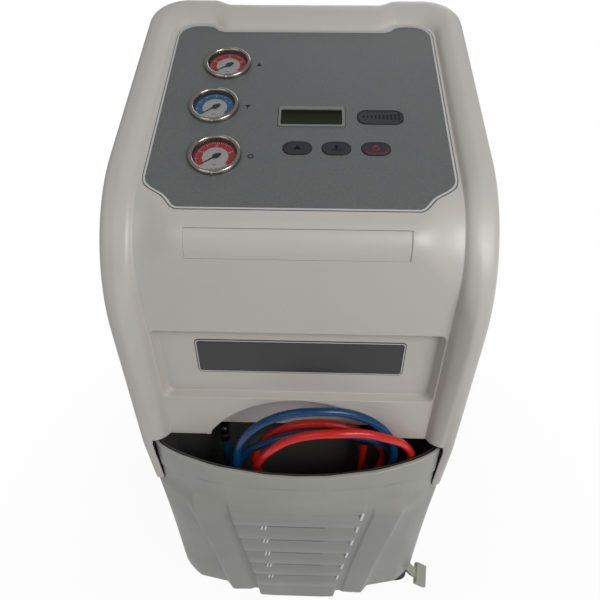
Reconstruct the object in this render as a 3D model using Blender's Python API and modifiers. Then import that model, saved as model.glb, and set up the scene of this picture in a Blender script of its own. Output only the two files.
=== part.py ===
"""Service station that recovers, vacuums and refills the refrigerant of a car's air conditioning.

It stands on two large rear wheels and two swivelling front casters. X is to the right, Y to the back
and Z up, in metres. The origin is on the floor under the middle of the object.
"""

import math

import bmesh
import bpy
from mathutils import Matrix, Vector

for old in list(bpy.data.objects):
    bpy.data.objects.remove(old, do_unlink=True)

station = bpy.data.collections.new("ac_service_station")
cutters = bpy.data.collections.new("cutters")
bpy.context.scene.collection.children.link(station)
bpy.context.scene.collection.children.link(cutters)
cutters.hide_render = True

# Driving dimensions.
GAP = 0.0003
TILT = math.radians(25)
SILL_Y = -0.180
SILL_Z = 0.900
WALL = 0.0035
HALF_BODY = 0.250
SIDE_FACE = HALF_BODY - 0.0068
SHEET = 0.002
REAR_FACE = 0.198
TRAY_BOTTOM = 0.112
TRAY_TOP = 0.115
REST_PAD = 0.108
SHELF_TOP = 0.603
WHEEL_RADIUS = 0.100
WHEEL_WIDTH = 0.034
WHEEL_INNER = HALF_BODY + 0.002
WHEEL_OUTER = WHEEL_INNER + WHEEL_WIDTH
AXLE_RADIUS = 0.010
AXLE_Y = 0.165
CASTER_RADIUS = 0.0375
CASTER_TRAIL = 0.024
CASTER_X = HALF_BODY - 0.070
CASTER_Y = -0.1790
GAUGE_SPOTS = ((-0.1131, 0.2801), (-0.1232, 0.1864), (-0.1118, 0.0899))
GAUGE_NAMES = ("upper", "middle", "lower")
GAUGE_BODY = 0.0315
BEZEL_RADIUS = 0.035
KEY_SPOTS = ((-0.004, 0.106), (0.048, 0.106), (0.1005, 0.106))
KEY_NAMES = ("left", "middle", "right")
KEY_SIZE = (0.038, 0.024)
KEY_ROUND = 0.0118
SCREEN = (-0.032, 0.0605, 0.147, 0.187)
PILL = (0.078, 0.141, 0.153, 0.181)
RECESS = 0.0015
HOSE_RADIUS = 0.0065
POCKET_BACK = 0.022
POCKET_FLOOR = -0.575
TANK_RADIUS = 0.095
TANK_SPOT = (-TANK_RADIUS, 0.062)
HANDLE_RADIUS = 0.0125


def finish(obj, colour, metal=0.0, rough=0.5):
    """Gives the object its own Principled material."""
    surface = bpy.data.materials.new(obj.name)
    surface.use_nodes = True
    shader = surface.node_tree.nodes["Principled BSDF"]
    shader.inputs["Base Color"].default_value = (*colour, 1.0)
    shader.inputs["Metallic"].default_value = metal
    shader.inputs["Roughness"].default_value = rough
    obj.data.materials.append(surface)
    return obj


def solid(name, points, faces, group=station, closed=True):
    """A mesh object from points and faces, with its normals made to agree when it is closed."""
    mesh = bpy.data.meshes.new(name)
    mesh.from_pydata([tuple(point) for point in points], [], faces)
    if closed:
        work = bmesh.new()
        work.from_mesh(mesh)
        bmesh.ops.recalc_face_normals(work, faces=work.faces)
        work.to_mesh(mesh)
        work.free()
    mesh.update()
    obj = bpy.data.objects.new(name, mesh)
    group.objects.link(obj)
    if group is cutters:
        obj.hide_render = True
        obj.display_type = "WIRE"
    return obj


def stack(name, layers, place=Matrix(), group=station):
    """Joins outlines of equal length, each (points, height), into one closed body along local Z."""
    count = len(layers[0][0])
    points = [Vector((x, y, height)) for outline, height in layers for x, y in outline]
    faces = [tuple(range(count - 1, -1, -1))]
    for level in range(len(layers) - 1):
        low = level * count
        for i in range(count):
            j = (i + 1) % count
            faces.append((low + i, low + j, low + count + j, low + count + i))
    faces.append(tuple(range((len(layers) - 1) * count, len(layers) * count)))
    obj = solid(name, points, faces, group)
    obj.matrix_world = place
    return obj


def prism(name, outline, low, high, place=Matrix(), group=station):
    return stack(name, [(outline, low), (outline, high)], place, group)


def block(name, low, high, group=station):
    """A box between two opposite corners."""
    outline = [(low[0], low[1]), (high[0], low[1]), (high[0], high[1]), (low[0], high[1])]
    return prism(name, outline, low[2], high[2], group=group)


def oblong(x0, x1, y0, y1, radius, arcs=4):
    """A rectangle's outline with rounded corners."""
    points = []
    corners = ((x1 - radius, y1 - radius, 0), (x0 + radius, y1 - radius, 90),
               (x0 + radius, y0 + radius, 180), (x1 - radius, y0 + radius, 270))
    for cx, cy, start in corners:
        for step in range(arcs + 1):
            angle = math.radians(start + 90 * step / arcs)
            points.append((cx + radius * math.cos(angle), cy + radius * math.sin(angle)))
    return points


def circle(radius, count, cx=0.0, cy=0.0):
    turn = 2 * math.pi / count
    return [(cx + radius * math.cos(turn * i), cy + radius * math.sin(turn * i)) for i in range(count)]


def lathe(name, profile, place=Matrix(), steps=24, ring=False, group=station):
    """Turns a profile of (radius, height) round local Z. It runs down its outer side."""
    mesh = bpy.data.meshes.new(name)
    edges = [(i, i + 1) for i in range(len(profile) - 1)]
    if ring:
        edges.append((len(profile) - 1, 0))
    mesh.from_pydata([(radius, 0, height) for radius, height in profile], edges, [])
    obj = bpy.data.objects.new(name, mesh)
    group.objects.link(obj)
    obj.matrix_world = place
    screw = obj.modifiers.new("turned", "SCREW")
    screw.steps = steps
    screw.render_steps = steps
    screw.use_merge_vertices = True
    screw.merge_threshold = 0.0001
    screw.use_smooth_shade = True
    if group is cutters:
        obj.hide_render = True
        obj.display_type = "WIRE"
    return obj


def combine(target, tool, operation="DIFFERENCE"):
    step = target.modifiers.new(tool.name, "BOOLEAN")
    step.operation = operation
    step.solver = "EXACT"
    step.object = tool
    return target


def fuse(target, tools):
    for tool in tools:
        combine(target, tool, "UNION")
    return target


def cord(name, points, radius, resolution=2):
    """A round tube along straight steps between points."""
    curve = bpy.data.curves.new(name, "CURVE")
    curve.dimensions = "3D"
    curve.bevel_depth = radius
    curve.bevel_resolution = resolution
    curve.use_fill_caps = True
    line = curve.splines.new("POLY")
    line.points.add(len(points) - 1)
    for point, spot in zip(line.points, points):
        point.co = (*spot, 1.0)
    obj = bpy.data.objects.new(name, curve)
    station.objects.link(obj)
    return obj


def sweep(name, points, radius, sides=12, group=station):
    """The same tube as a mesh, so that a Boolean can join it."""
    spots = [Vector(point) for point in points]
    rings = []
    side = Vector((0, 0, 1))
    for i, spot in enumerate(spots):
        ahead = (spots[min(i + 1, len(spots) - 1)] - spots[max(i - 1, 0)]).normalized()
        across = ahead.cross(side)
        if across.length < 0.2:
            across = ahead.cross(Vector((0, 1, 0)))
        across.normalize()
        side = across.cross(ahead).normalized()
        for k in range(sides):
            angle = 2 * math.pi * k / sides
            rings.append(spot + radius * (math.cos(angle) * across + math.sin(angle) * side))
    faces = [tuple(range(sides))]
    for i in range(len(spots) - 1):
        for k in range(sides):
            j = (k + 1) % sides
            faces.append((i * sides + k, i * sides + j, (i + 1) * sides + j, (i + 1) * sides + k))
    faces.append(tuple(range(len(rings) - 1, len(rings) - 1 - sides, -1)))
    return solid(name, rings, faces, group)


def at(u, v, w):
    """A point of the console: across, up its slope from the overlay's lower edge, and out from it."""
    return Vector((u, SILL_Y + v * math.cos(TILT) - w * math.sin(TILT),
                   SILL_Z + v * math.sin(TILT) + w * math.cos(TILT)))


def on_console(u, v, w=0.0):
    return Matrix.Translation(at(u, v, w)) @ Matrix.Rotation(TILT, 4, "X")


def facing(axis):
    """Turns local Z to a world direction."""
    return Vector(axis).to_track_quat("Z", "Y").to_matrix().to_4x4()


def ease(value):
    value = min(max(value, 0.0), 1.0)
    return value * value * (3 - 2 * value)


def mix(a, b, share):
    return a + (b - a) * share


WARM_GREY = (0.60, 0.60, 0.56)
DARK = (0.03, 0.03, 0.03)
STEEL = (0.55, 0.56, 0.58)

# Front shell: one moulding for the console, its raised rim and the upper front.
# Each column of the shell is a slope, an arc and an upright. The values are the distance from the
# middle, the height over the console's plane, the upright's depth and the arc's radius.
CENTRE = [(HALF_BODY - inset, 0.0, -0.037, mix(0.040, 0.127, ease((0.110 - inset) / 0.067)))
          for inset in (HALF_BODY, 0.110, 0.093, 0.077, 0.060)]
RAIL = [(HALF_BODY - inset, *form) for inset, *form in
        ((0.045, 0.0, -0.037, 0.127), (0.039, 0.0066, -0.047, 0.155), (0.029, 0.011, -0.056, 0.190),
         (0.020, 0.012, -0.060, 0.210), (0.0065, 0.0095, -0.056, 0.210), (0.0, 0.001, -0.045, 0.210))]
SKIRT = 0.070
ARC_ANGLES = (25, 34, 43, 53, 63, 73, 82, 90)
UPRIGHT_ROWS = (-0.205, -0.300, -0.378)
STRIP_ROWS = (-0.391, -0.440, -0.489)
SLOPE_ROWS = (0.095, 0.220, 0.335)
CORNER_ANGLES = (0, 22.5, 45, 67.5, 90)
REAR_ROWS = [HALF_BODY - inset for inset in (0.100, 0.110, 0.117, 0.124, 0.134, HALF_BODY)]
REAR_DROP = (0.015, 0.014, 0.013, 0.012, 0.012, 0.012)


def bend_point(x, lift, front, radius, degrees):
    """A point of a column's arc, by the angle between the upright's normal and straight up."""
    angle = math.radians(degrees)
    slope = (front + radius + (lift - radius) * math.sin(TILT)) / math.cos(TILT)
    centre = slope * math.sin(TILT) + (lift - radius) * math.cos(TILT)
    return Vector((x, SILL_Y + front + radius - radius * math.sin(angle),
                   SILL_Z + centre + radius * math.cos(angle)))


def lean(x, z):
    """How far the upper front's rails lean back near their lower end."""
    crest = 0.031 * max(0.0, -0.205 - z) / 0.16 * 0.16 + 0.069 * max(0.0, -0.365 - z)
    edge = 0.115 * max(0.0, -0.385 - z)
    inset = HALF_BODY - x
    if inset > 0.0445:
        return 0.0
    if inset > 0.0175:
        return crest * (0.045 - inset) / 0.025
    return mix(crest, edge, min(1.0, (0.020 - inset) / 0.013))


def upright_point(x, front, z):
    return Vector((x, SILL_Y + front + lean(x, z), SILL_Z + z))


def corner_data(x, index):
    """Where a rail column turns round the console's rear corner: centre, radius and rear line."""
    inset = HALF_BODY - x
    if inset > 0.0199:
        share = (0.045 - inset) / 0.025
        return HALF_BODY - mix(0.077, 0.062, share), mix(0.352, 0.382, share), mix(0.384, 0.424, share)
    share = (0.020 - inset) / 0.020
    return HALF_BODY - mix(0.062, 0.058, share), mix(0.382, 0.378, share), mix(0.424, 0.436, share)


def rail_stations(x, lift, front, radius, index):
    """The column's points from the top of the arc to the rear of the console, in order."""
    points = [at(x, v, lift) for v in SLOPE_ROWS]
    cx, cv, rear = corner_data(x, index)
    for degrees in CORNER_ANGLES:
        angle = math.radians(degrees)
        points.append(at(cx + (x - cx) * math.cos(angle), cv + (rear - cv) * math.sin(angle), lift))
    for across in REAR_ROWS:
        drop = REAR_DROP[index] * ease((HALF_BODY - 0.102 - across) / 0.030)
        points.append(at(across, rear - drop, lift))
    return points


def make_shell():
    columns = []
    for x, lift, front, radius in CENTRE:
        points = [upright_point(x, front, z) for z in reversed(UPRIGHT_ROWS)]
        points += [bend_point(x, lift, front, radius, a) for a in reversed(ARC_ANGLES)]
        points.append(at(x, SLOPE_ROWS[0], lift))
        columns.append(points)
    rails = []
    for index, (x, lift, front, radius) in enumerate(RAIL):
        points = [upright_point(x, front, z) for z in reversed(UPRIGHT_ROWS)]
        points += [bend_point(x, lift, front, radius, a) for a in reversed(ARC_ANGLES)]
        points += rail_stations(x, lift, front, radius, index)
        rails.append(points)
    x, lift, front, radius = RAIL[-1]
    skirt = [upright_point(x, front + SKIRT, z) for z in reversed(UPRIGHT_ROWS)]
    skirt += [bend_point(x, lift - SKIRT, front + SKIRT, radius - SKIRT, a) for a in reversed(ARC_ANGLES)]
    outer = rails[-1][len(skirt):]
    turned = len(SLOPE_ROWS)
    for number, point in enumerate(outer):
        share = ease((number - turned) / (len(CORNER_ANGLES) - 1))
        inward = Vector((0, math.sin(TILT), -math.cos(TILT)))
        down = Vector((0, 0, -1))
        skirt.append(point + SKIRT * inward.lerp(down, share).normalized())
    rails.append(skirt)
    points = []
    faces = []

    def put(column):
        start = len(points)
        points.extend(column)
        return list(range(start, start + len(column)))

    centre_ids = [put(column) for column in columns]
    rail_ids = [put(column) for column in rails]
    grid = centre_ids + [rail_ids[0][:len(centre_ids[0])]]
    for left, right in zip(grid, grid[1:]):
        for row in range(len(left) - 1):
            faces.append((left[row], right[row], right[row + 1], left[row + 1]))
    for left, right in zip(rail_ids, rail_ids[1:]):
        for row in range(len(left) - 1):
            faces.append((left[row], right[row], right[row + 1], left[row + 1]))
    top = len(centre_ids[0]) - 1
    sheet = [ids[top] for ids in centre_ids] + rail_ids[0][top:]
    faces.append(tuple(sheet))
    # The rails run on below the upper front as strips beside the hose pocket's mouth.
    strip_rows = []
    for z in reversed(STRIP_ROWS):
        row = []
        for x, lift, front, radius in RAIL[3:]:
            row.append(upright_point(max(x, HALF_BODY - 0.018), front, z))
        row.append(upright_point(HALF_BODY, RAIL[-1][2] + SKIRT, z))
        strip_rows.append(row)
    strips = [put([row[i] for row in strip_rows]) + [rail_ids[3 + i][0]] for i in range(4)]
    for left, right in zip(strips, strips[1:]):
        for row in range(len(left) - 1):
            faces.append((left[row], right[row], right[row + 1], left[row + 1]))
    shell = solid("front_shell", points, faces, closed=False)
    mirror = shell.modifiers.new("other_side", "MIRROR")
    mirror.merge_threshold = 0.0001
    mirror.use_clip = True
    wall = shell.modifiers.new("wall", "SOLIDIFY")
    wall.thickness = WALL
    wall.offset = -1.0
    wall.use_even_offset = True
    return finish(shell, WARM_GREY, rough=0.45)


OVERLAY_EDGE = [(HALF_BODY - inset, v) for inset, v in
                ((0.099, 0.0), (0.091, 0.005), (0.079, 0.020), (0.063, 0.031), (0.053, 0.040), (0.049, 0.052))]
OVERLAY_CORNER = (HALF_BODY - 0.081, 0.348, 0.032)
OVERLAY_REAR = [(HALF_BODY - inset, v) for inset, v in ((0.106, 0.3765), (0.114, 0.3685), (0.124, 0.365))]


def overlay_outline(grow):
    """The overlay's outline, moved outwards by grow."""
    right = [(x + grow * 0.9, v - grow * 0.6) for x, v in OVERLAY_EDGE]
    right[0] = (OVERLAY_EDGE[0][0] + grow * 0.4, -grow)
    right[-1] = (OVERLAY_EDGE[-1][0] + grow, OVERLAY_EDGE[-1][1])
    cx, cv, radius = OVERLAY_CORNER
    for step in range(6):
        angle = math.radians(90 * step / 5)
        right.append((cx + (radius + grow) * math.cos(angle), cv + (radius + grow) * math.sin(angle)))
    right.append((cx - 0.014 - grow * 0.3, cv + radius + grow))
    right += [(x, v + grow) for x, v in OVERLAY_REAR]
    return right + [(-x, v) for x, v in reversed(right)]


def panel_openings(grow, low, high, tag):
    """Cutters for the gauges, the display, the level window and the keys, through a sheet of the console."""
    tools = []
    for name, (u, v) in zip(GAUGE_NAMES, GAUGE_SPOTS):
        tools.append(prism(f"{tag}_gauge_{name}", circle(GAUGE_BODY + grow, 28), low, high,
                           on_console(u, v), cutters))
    x0, x1, v0, v1 = SCREEN
    tools.append(prism(f"{tag}_screen", oblong(x0 - grow, x1 + grow, v0 - grow, v1 + grow, 0.003, 2),
                       low, high, on_console(0, 0), cutters))
    x0, x1, v0, v1 = PILL
    tools.append(prism(f"{tag}_pill", oblong(x0 - grow, x1 + grow, v0 - grow, v1 + grow, 0.0125, 5),
                       low, high, on_console(0, 0), cutters))
    for name, (u, v) in zip(KEY_NAMES, KEY_SPOTS):
        half = (KEY_SIZE[0] / 2 + grow, KEY_SIZE[1] / 2 + grow)
        tools.append(prism(f"{tag}_key_{name}", oblong(-half[0], half[0], -half[1], half[1], KEY_ROUND + grow, 5),
                           low, high, on_console(u, v), cutters))
    return tools


shell = make_shell()

# The plate bay: a shallow recess with sloping sides above the arch of the hose pocket.
BAY_HALF = HALF_BODY - 0.047
BAY_TOP = -0.165
BAY_FOOT = -0.2935
BAY_FRONT = -0.037
BAY_DEPTH = -0.022
ARCH_RADIUS = HALF_BODY - 0.085
ARCH_CENTRE = -0.462
ARCH_DEPTH = -0.012
across_x = Matrix(((0, 0, 1, 0), (1, 0, 0, 0), (0, 1, 0, 0), (0, 0, 0, 1)))


def side_profile(points):
    """Outline of (y, z) from the console's datum, for a prism that runs along X."""
    return [(SILL_Y + y, SILL_Z + z) for y, z in points]


def bay_outline(narrow, grow=0.0):
    """The bay's outline in X and Z, narrowed for its floor and grown for the wall behind it."""
    half = BAY_HALF - narrow + grow
    return oblong(-half, half, BAY_FOOT + narrow * 0.25 - grow, BAY_TOP - narrow * 0.6 + grow, 0.009 + grow, 3)


upright_plane = Matrix(((1, 0, 0, 0), (0, 0, -1, SILL_Y), (0, 1, 0, SILL_Z), (0, 0, 0, 1)))
bay_back = stack("bay_back", [(bay_outline(0.006, WALL), -BAY_DEPTH - WALL),
                 (bay_outline(0.0, WALL), -0.0005 - BAY_FRONT)], upright_plane, cutters)
bay_room = stack("bay_room", [(bay_outline(0.006), -BAY_DEPTH), (bay_outline(0.0), -BAY_FRONT),
                 (bay_outline(0.0), 0.080)], upright_plane, cutters)
ARCH_FOOT = UPRIGHT_ROWS[-1]
FOOT_HALF = math.sqrt(ARCH_RADIUS ** 2 - (ARCH_FOOT - ARCH_CENTRE) ** 2)


def arch(radius):
    """The arch over the pocket's mouth, cut off level at its foot, in X and Z."""
    half = math.degrees(math.acos((ARCH_FOOT - ARCH_CENTRE) / radius))
    points = []
    for step in range(17):
        angle = math.radians(90 - half + 2 * half * step / 16)
        points.append((radius * math.cos(angle), ARCH_CENTRE + radius * math.sin(angle)))
    return points


arch_back = prism("arch_back", arch(ARCH_RADIUS + WALL)[1:-1]
                  + [(-FOOT_HALF - 0.0025, ARCH_FOOT), (FOOT_HALF + 0.0025, ARCH_FOOT)],
                  -ARCH_DEPTH - WALL, 0.0365, upright_plane, cutters)
arch_foot = arch(ARCH_RADIUS)[1:-1] + [(-FOOT_HALF, ARCH_FOOT - 0.022), (FOOT_HALF, ARCH_FOOT - 0.022)]
arch_room = prism("arch_room", arch_foot, -ARCH_DEPTH, 0.080, upright_plane, cutters)
combine(shell, bay_back, "UNION")
combine(shell, arch_back, "UNION")
combine(shell, bay_room)
combine(shell, arch_room)

# The shallow rectangle on the shell's upper edge follows its bend.
strip_arc = []
for degrees in (30, 38, 46, 54, 62, 70, 78, 84, 90):
    point = bend_point(0.0, 0.0, -0.037, 0.040, degrees)
    centre = bend_point(0.0, 0.0, -0.037, 0.0400001, 90) + Vector((0, 0.040, 0))
    inner = centre + (point - centre) * (1 - 0.0012 / 0.040)
    strip_arc.append((inner.y, inner.z))
strip_arc.append((strip_arc[-1][0], SILL_Z - 0.049))
strip_low = SILL_Z - 0.0135
strip_arc = [spot for spot in strip_arc if spot[1] < strip_low]
strip_room = prism("strip_room", [(SILL_Y - 0.060, strip_low), (strip_arc[0][0] + 0.0004, strip_low)]
                   + strip_arc + [(SILL_Y - 0.060, SILL_Z - 0.049)], 0.112 - HALF_BODY, HALF_BODY - 0.112,
                   across_x, cutters)
combine(shell, strip_room)
combine(shell, prism("overlay_room", overlay_outline(0.0006), -RECESS, 0.020, on_console(0, 0), cutters))
for tool in panel_openings(0.0004, -0.012, 0.020, "shell"):
    combine(shell, tool)

# Overlay: a printed sheet in the console's recess.
overlay = prism("control_overlay", overlay_outline(0.0), -RECESS + GAP, -0.0002, on_console(0, 0))
for tool in panel_openings(0.0008, -0.012, 0.020, "overlay"):
    combine(overlay, tool)
finish(overlay, (0.22, 0.30, 0.36), rough=0.4)

# Display: a framed module from behind, with a clear window in its frame.
x0, x1, v0, v1 = SCREEN
outer = oblong(x0, x1, v0, v1, 0.003, 2)
flange = oblong(x0 - 0.004, x1 + 0.004, v0 - 0.004, v1 + 0.004, 0.003, 2)
display = stack("display_module", [(flange, -0.0115), (flange, -WALL - GAP), (outer, -WALL - GAP),
                                   (outer, 0.0009)], on_console(0, 0))
combine(display, prism("screen_room", oblong(-0.0283, 0.0563, 0.1507, 0.1813, 0.002, 2), -0.0030, 0.010,
                       on_console(0, 0), cutters))
finish(display, DARK, rough=0.35)
finish(prism("display_window", oblong(-0.028, 0.056, 0.151, 0.181, 0.002, 2), -0.0027, -0.0009,
             on_console(0, 0)), (0.45, 0.55, 0.35), rough=0.1)

# Level window: a clear lozenge over a row of bars.
x0, x1, v0, v1 = PILL
pill = oblong(x0, x1, v0, v1, 0.0125, 5)
pill_flange = oblong(x0 - 0.003, x1 + 0.003, v0 - 0.003, v1 + 0.003, 0.0125, 5)
finish(stack("level_window", [(pill_flange, -0.0075), (pill_flange, -WALL - GAP), (pill, -WALL - GAP),
                              (pill, 0.0003)], on_console(0, 0)), (0.10, 0.11, 0.12), rough=0.15)

# Keys: each has a flange behind the shell that keeps it in its opening.
for name, (u, v) in zip(KEY_NAMES, KEY_SPOTS):
    half_x, half_y = KEY_SIZE[0] / 2, KEY_SIZE[1] / 2
    cap = oblong(-half_x, half_x, -half_y, half_y, KEY_ROUND, 5)
    foot = oblong(-half_x - 0.002, half_x + 0.002, -half_y - 0.002, half_y + 0.002, KEY_ROUND + 0.002, 5)
    top = oblong(-half_x + 0.0006, half_x - 0.0006, -half_y + 0.0006, half_y - 0.0006, KEY_ROUND - 0.0006, 5)
    finish(stack(f"key_{name}", [(foot, -0.0060), (foot, -WALL - GAP), (cap, -WALL - GAP), (cap, 0.0002),
                                 (top, 0.0008)], on_console(u, v)), (0.60, 0.63, 0.63), rough=0.4)

# Control board: behind the keys, on four pegs that meet the shell's back.
BOARD_TOP = -0.0150
board = prism("control_board", oblong(-0.044, 0.136, 0.078, 0.199, 0.003, 2), BOARD_TOP - 0.0016, BOARD_TOP,
              on_console(0, 0))
for number, (u, v) in enumerate(((-0.0395, 0.0825), (0.1315, 0.0825), (-0.0395, 0.1945), (0.1315, 0.1945))):
    combine(board, prism(f"board_peg_{number}", circle(0.003, 8), BOARD_TOP - 0.001, -WALL - GAP,
                         on_console(u, v), cutters), "UNION")
for number, (u, v) in enumerate(KEY_SPOTS):
    combine(board, prism(f"board_switch_{number}", oblong(-0.006, 0.006, -0.006, 0.006, 0.001, 1),
                         BOARD_TOP - 0.001, -0.0070, on_console(u, v), cutters), "UNION")
finish(board, (0.05, 0.25, 0.12), rough=0.4)

# Gauges: a cup with a bezel, a dial on its floor, a needle over a short spindle and a glass.
for name, (u, v) in zip(GAUGE_NAMES, GAUGE_SPOTS):
    spot = on_console(u, v)
    finish(lathe(f"gauge_case_{name}", [
        (0.0, -0.0018), (0.0012, -0.0018), (0.0012, -0.0032), (0.0295, -0.0032), (0.0295, 0.0048),
        (0.0305, 0.0060), (0.0330, 0.0060), (BEZEL_RADIUS, 0.0045), (BEZEL_RADIUS, 0.0001),
        (GAUGE_BODY, 0.0001), (GAUGE_BODY, -0.0250), (0.0080, -0.0250), (0.0080, -0.0330),
        (0.0, -0.0330)], spot, 28), STEEL, 1.0, 0.25)
    finish(lathe(f"gauge_dial_{name}", [(0.0016, -0.0021), (0.0290, -0.0021), (0.0290, -0.0029),
                                        (0.0016, -0.0029)], spot, 28, ring=True), (0.9, 0.9, 0.88), rough=0.5)
    needle = prism(f"gauge_needle_{name}", [(0.0000, 0.0230), (-0.0009, 0.0040), (-0.0040, 0.0010),
                   (-0.0040, -0.0030), (-0.0014, -0.0090), (0.0014, -0.0090), (0.0040, -0.0030),
                   (0.0040, 0.0010), (0.0009, 0.0040)], -0.0014, -0.0006,
                   spot @ Matrix.Rotation(math.radians(128), 4, "Z"))
    finish(needle, (0.02, 0.02, 0.02), rough=0.4)
    finish(lathe(f"gauge_lens_{name}", [(0.0, 0.0046), (0.0160, 0.0043), (0.0292, 0.0036), (0.0292, 0.0024),
                                        (0.0, 0.0024)], spot, 28), (0.8, 0.85, 0.88), rough=0.05)

# Lower cover: the bulging front under the hose pocket's lip.
LIP_Z = -0.391


def lip_depth(x):
    return -0.043 - 0.057 * max(0.0, 1 - (x / (HALF_BODY - 0.018)) ** 2) ** 0.7


COVER_ROWS = (-0.391, -0.402, -0.430, -0.462, -0.484, -0.4910, -0.4920, -0.5060, -0.5240, -0.5455, -0.5470, -0.5915, -0.5930, -0.6375,
              -0.6390, -0.6835, -0.6850, -0.7295, -0.7310, -0.7620, -0.8000, -0.8250)
SLAT_ROWS = (-0.5470, -0.5930, -0.6390, -0.6850, -0.7310)


def along(z, spots):
    """A value read between (height, value) pairs, from top to bottom."""
    if z >= spots[0][0]:
        return spots[0][1]
    for (z0, a), (z1, b) in zip(spots, spots[1:]):
        if z >= z1:
            return mix(a, b, (z0 - z) / (z0 - z1))
    return spots[-1][1]


def cover_row(z, steps=True):
    """One level of the lower cover: (x, depth) from the middle to the end of its side wrap."""
    narrow = HALF_BODY - 0.0188
    half = along(z, [(-0.4910, narrow), (-0.4920, HALF_BODY - 0.003)])
    louvre = along(z, [(-0.391, 0.118), (-0.508, 0.113), (-0.735, 0.0820), (-0.825, 0.0750)])
    groove = along(z, [(-0.391, 0.136), (-0.515, 0.1275), (-0.682, 0.1040), (-0.825, 0.0895)])
    ridge = along(z, [(-0.391, 0.185), (-0.520, 0.176), (-0.610, 0.163), (-0.700, 0.150), (-0.825, 0.1335)])
    foot = ridge + along(z, [(-0.505, 0.010), (-0.825, 0.0125)])
    bulge = along(z, [(-0.391, 0.0), (-0.430, -0.004), (-0.462, -0.002), (-0.505, 0.003)])
    xs = [0.0, 0.048, louvre, louvre + 0.004, groove, groove + 0.004, ridge - 0.004, ridge, foot]
    xs += [HALF_BODY - 0.046, HALF_BODY - 0.032, narrow]
    upper = [lip_depth(x) + bulge * (1 - x / (HALF_BODY - 0.018)) for x in xs]
    block_y = along(z, [(-0.505, -0.0965), (-0.825, -0.087)])
    floor_y = along(z, [(-0.505, -0.086), (-0.825, -0.0735)])
    band_y = along(z, [(-0.505, -0.0905), (-0.825, -0.0770)])
    foot_y = along(z, [(-0.505, -0.0745), (-0.825, -0.0620)])
    lower = [block_y, block_y, block_y + 0.001, floor_y, floor_y, band_y + 0.001, band_y,
             band_y + 0.0015, foot_y]
    lower += [along(z, [(-0.505, -0.0640), (-0.825, -0.0510)]), along(z, [(-0.505, -0.0560), (-0.825, -0.0420)]),
              along(z, [(-0.505, -0.0470), (-0.825, -0.0310)])]
    share = ease((-0.484 - z) / 0.038)
    depths = [mix(a, b, share) for a, b in zip(upper, lower)]
    if steps and any(abs(z - row) < 1e-6 for row in SLAT_ROWS):
        depths[0] += 0.0022
        depths[1] += 0.0022
        depths[2] += 0.0022
    corner_y = along(z, [(-0.491, -0.033), (-0.588, -0.021), (-0.660, -0.014), (-0.738, -0.010), (-0.825, -0.006)])
    if half < HALF_BODY - 0.010:
        side = [(narrow + 0.0004, y) for y in (-0.036, -0.028, -0.018, 0.004)]
    else:
        side = [(half - 0.0065, mix(depths[-1], corner_y, 0.42)), (half - 0.0015, mix(depths[-1], corner_y, 0.78)),
                (half, corner_y + 0.008), (half, 0.040)]
    return list(zip(xs, depths)) + side


def inset(row, depth):
    """The same row moved into the wall, square to its own line."""
    moved = []
    for i, (x, y) in enumerate(row):
        before = Vector(row[max(i - 1, 0)]) if i else Vector((-row[1][0], row[1][1]))
        after = Vector(row[min(i + 1, len(row) - 1)])
        first = (Vector((x, y)) - before).normalized() if i else (after - before).normalized()
        second = (after - Vector((x, y))).normalized() if i < len(row) - 1 else first
        a, b = Vector((-first.y, first.x)), Vector((-second.y, second.x))
        normal = (a + b).normalized()
        normal *= min(depth / max(normal.dot(a), 0.5), depth * 1.5)
        moved.append((max(x + normal.x, 0.0) if i else 0.0, y + normal.y))
    return moved


COVER_WALL = 0.0035


def cover_grid(inner):
    grid = []
    for z in COVER_ROWS:
        row = cover_row(z, steps=not inner)
        if inner:
            row = inset(row, COVER_WALL)
        level = z - COVER_WALL if inner and z in (-0.4910, -0.4920) else z
        line = []
        for x, y in row:
            rise = 0.006 * ease((x - HALF_BODY + 0.052) / 0.049) if z == COVER_ROWS[-1] else 0.0
            line.append(Vector((x, SILL_Y + y, SILL_Z + level + rise)))
        grid.append(line)
    # The lip turns inwards at its top.
    lip = [point + Vector((0, 0.006, -0.003 if inner else 0.002)) for point in grid[0]]
    if inner:
        lip = [Vector((a.x, b.y + 0.006, a.z)) for a, b in zip(lip, cover_first)]
        grid[0] = [point + Vector((0, 0, -0.0035)) for point in grid[0]]
    grid.insert(0, lip)
    return [[Vector((-p.x, p.y, p.z)) for p in reversed(line[1:])] + line for line in grid]


cover_first = [Vector((x, SILL_Y + y, 0)) for x, y in cover_row(COVER_ROWS[0])]
outside = cover_grid(False)
inside = cover_grid(True)
across = len(outside[0])
down = len(outside)
points = [point for grid in (outside, inside) for line in grid for point in line]
faces = []
for layer in (0, across * down):
    for r in range(down - 1):
        for c in range(across - 1):
            low = layer + r * across + c
            faces.append((low, low + across, low + across + 1, low + 1))
for c in range(across - 1):
    for r in (0, down - 1):
        low = r * across + c
        faces.append((low, low + 1, low + 1 + across * down, low + across * down))
for r in range(down - 1):
    for c in (0, across - 1):
        low = r * across + c
        faces.append((low, low + across, low + across + across * down, low + across * down))
cover = solid("lower_cover", points, faces)
for number, z in enumerate(SLAT_ROWS):
    half = 0.050 - 0.0016 * number
    combine(cover, block(f"slot_{number}", (-half, SILL_Y - 0.120, SILL_Z + z - 0.006),
                         (half, SILL_Y - 0.070, SILL_Z + z - 0.001), cutters))
finish(cover, (0.47, 0.47, 0.43), rough=0.45)

# Hose pocket: a bin behind the lip, open at the front above it.
POCKET_SHEET = 0.0025
POCKET_ROOF = ARCH_FOOT - 0.0005
POCKET_HALF = HALF_BODY - 0.025


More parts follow.
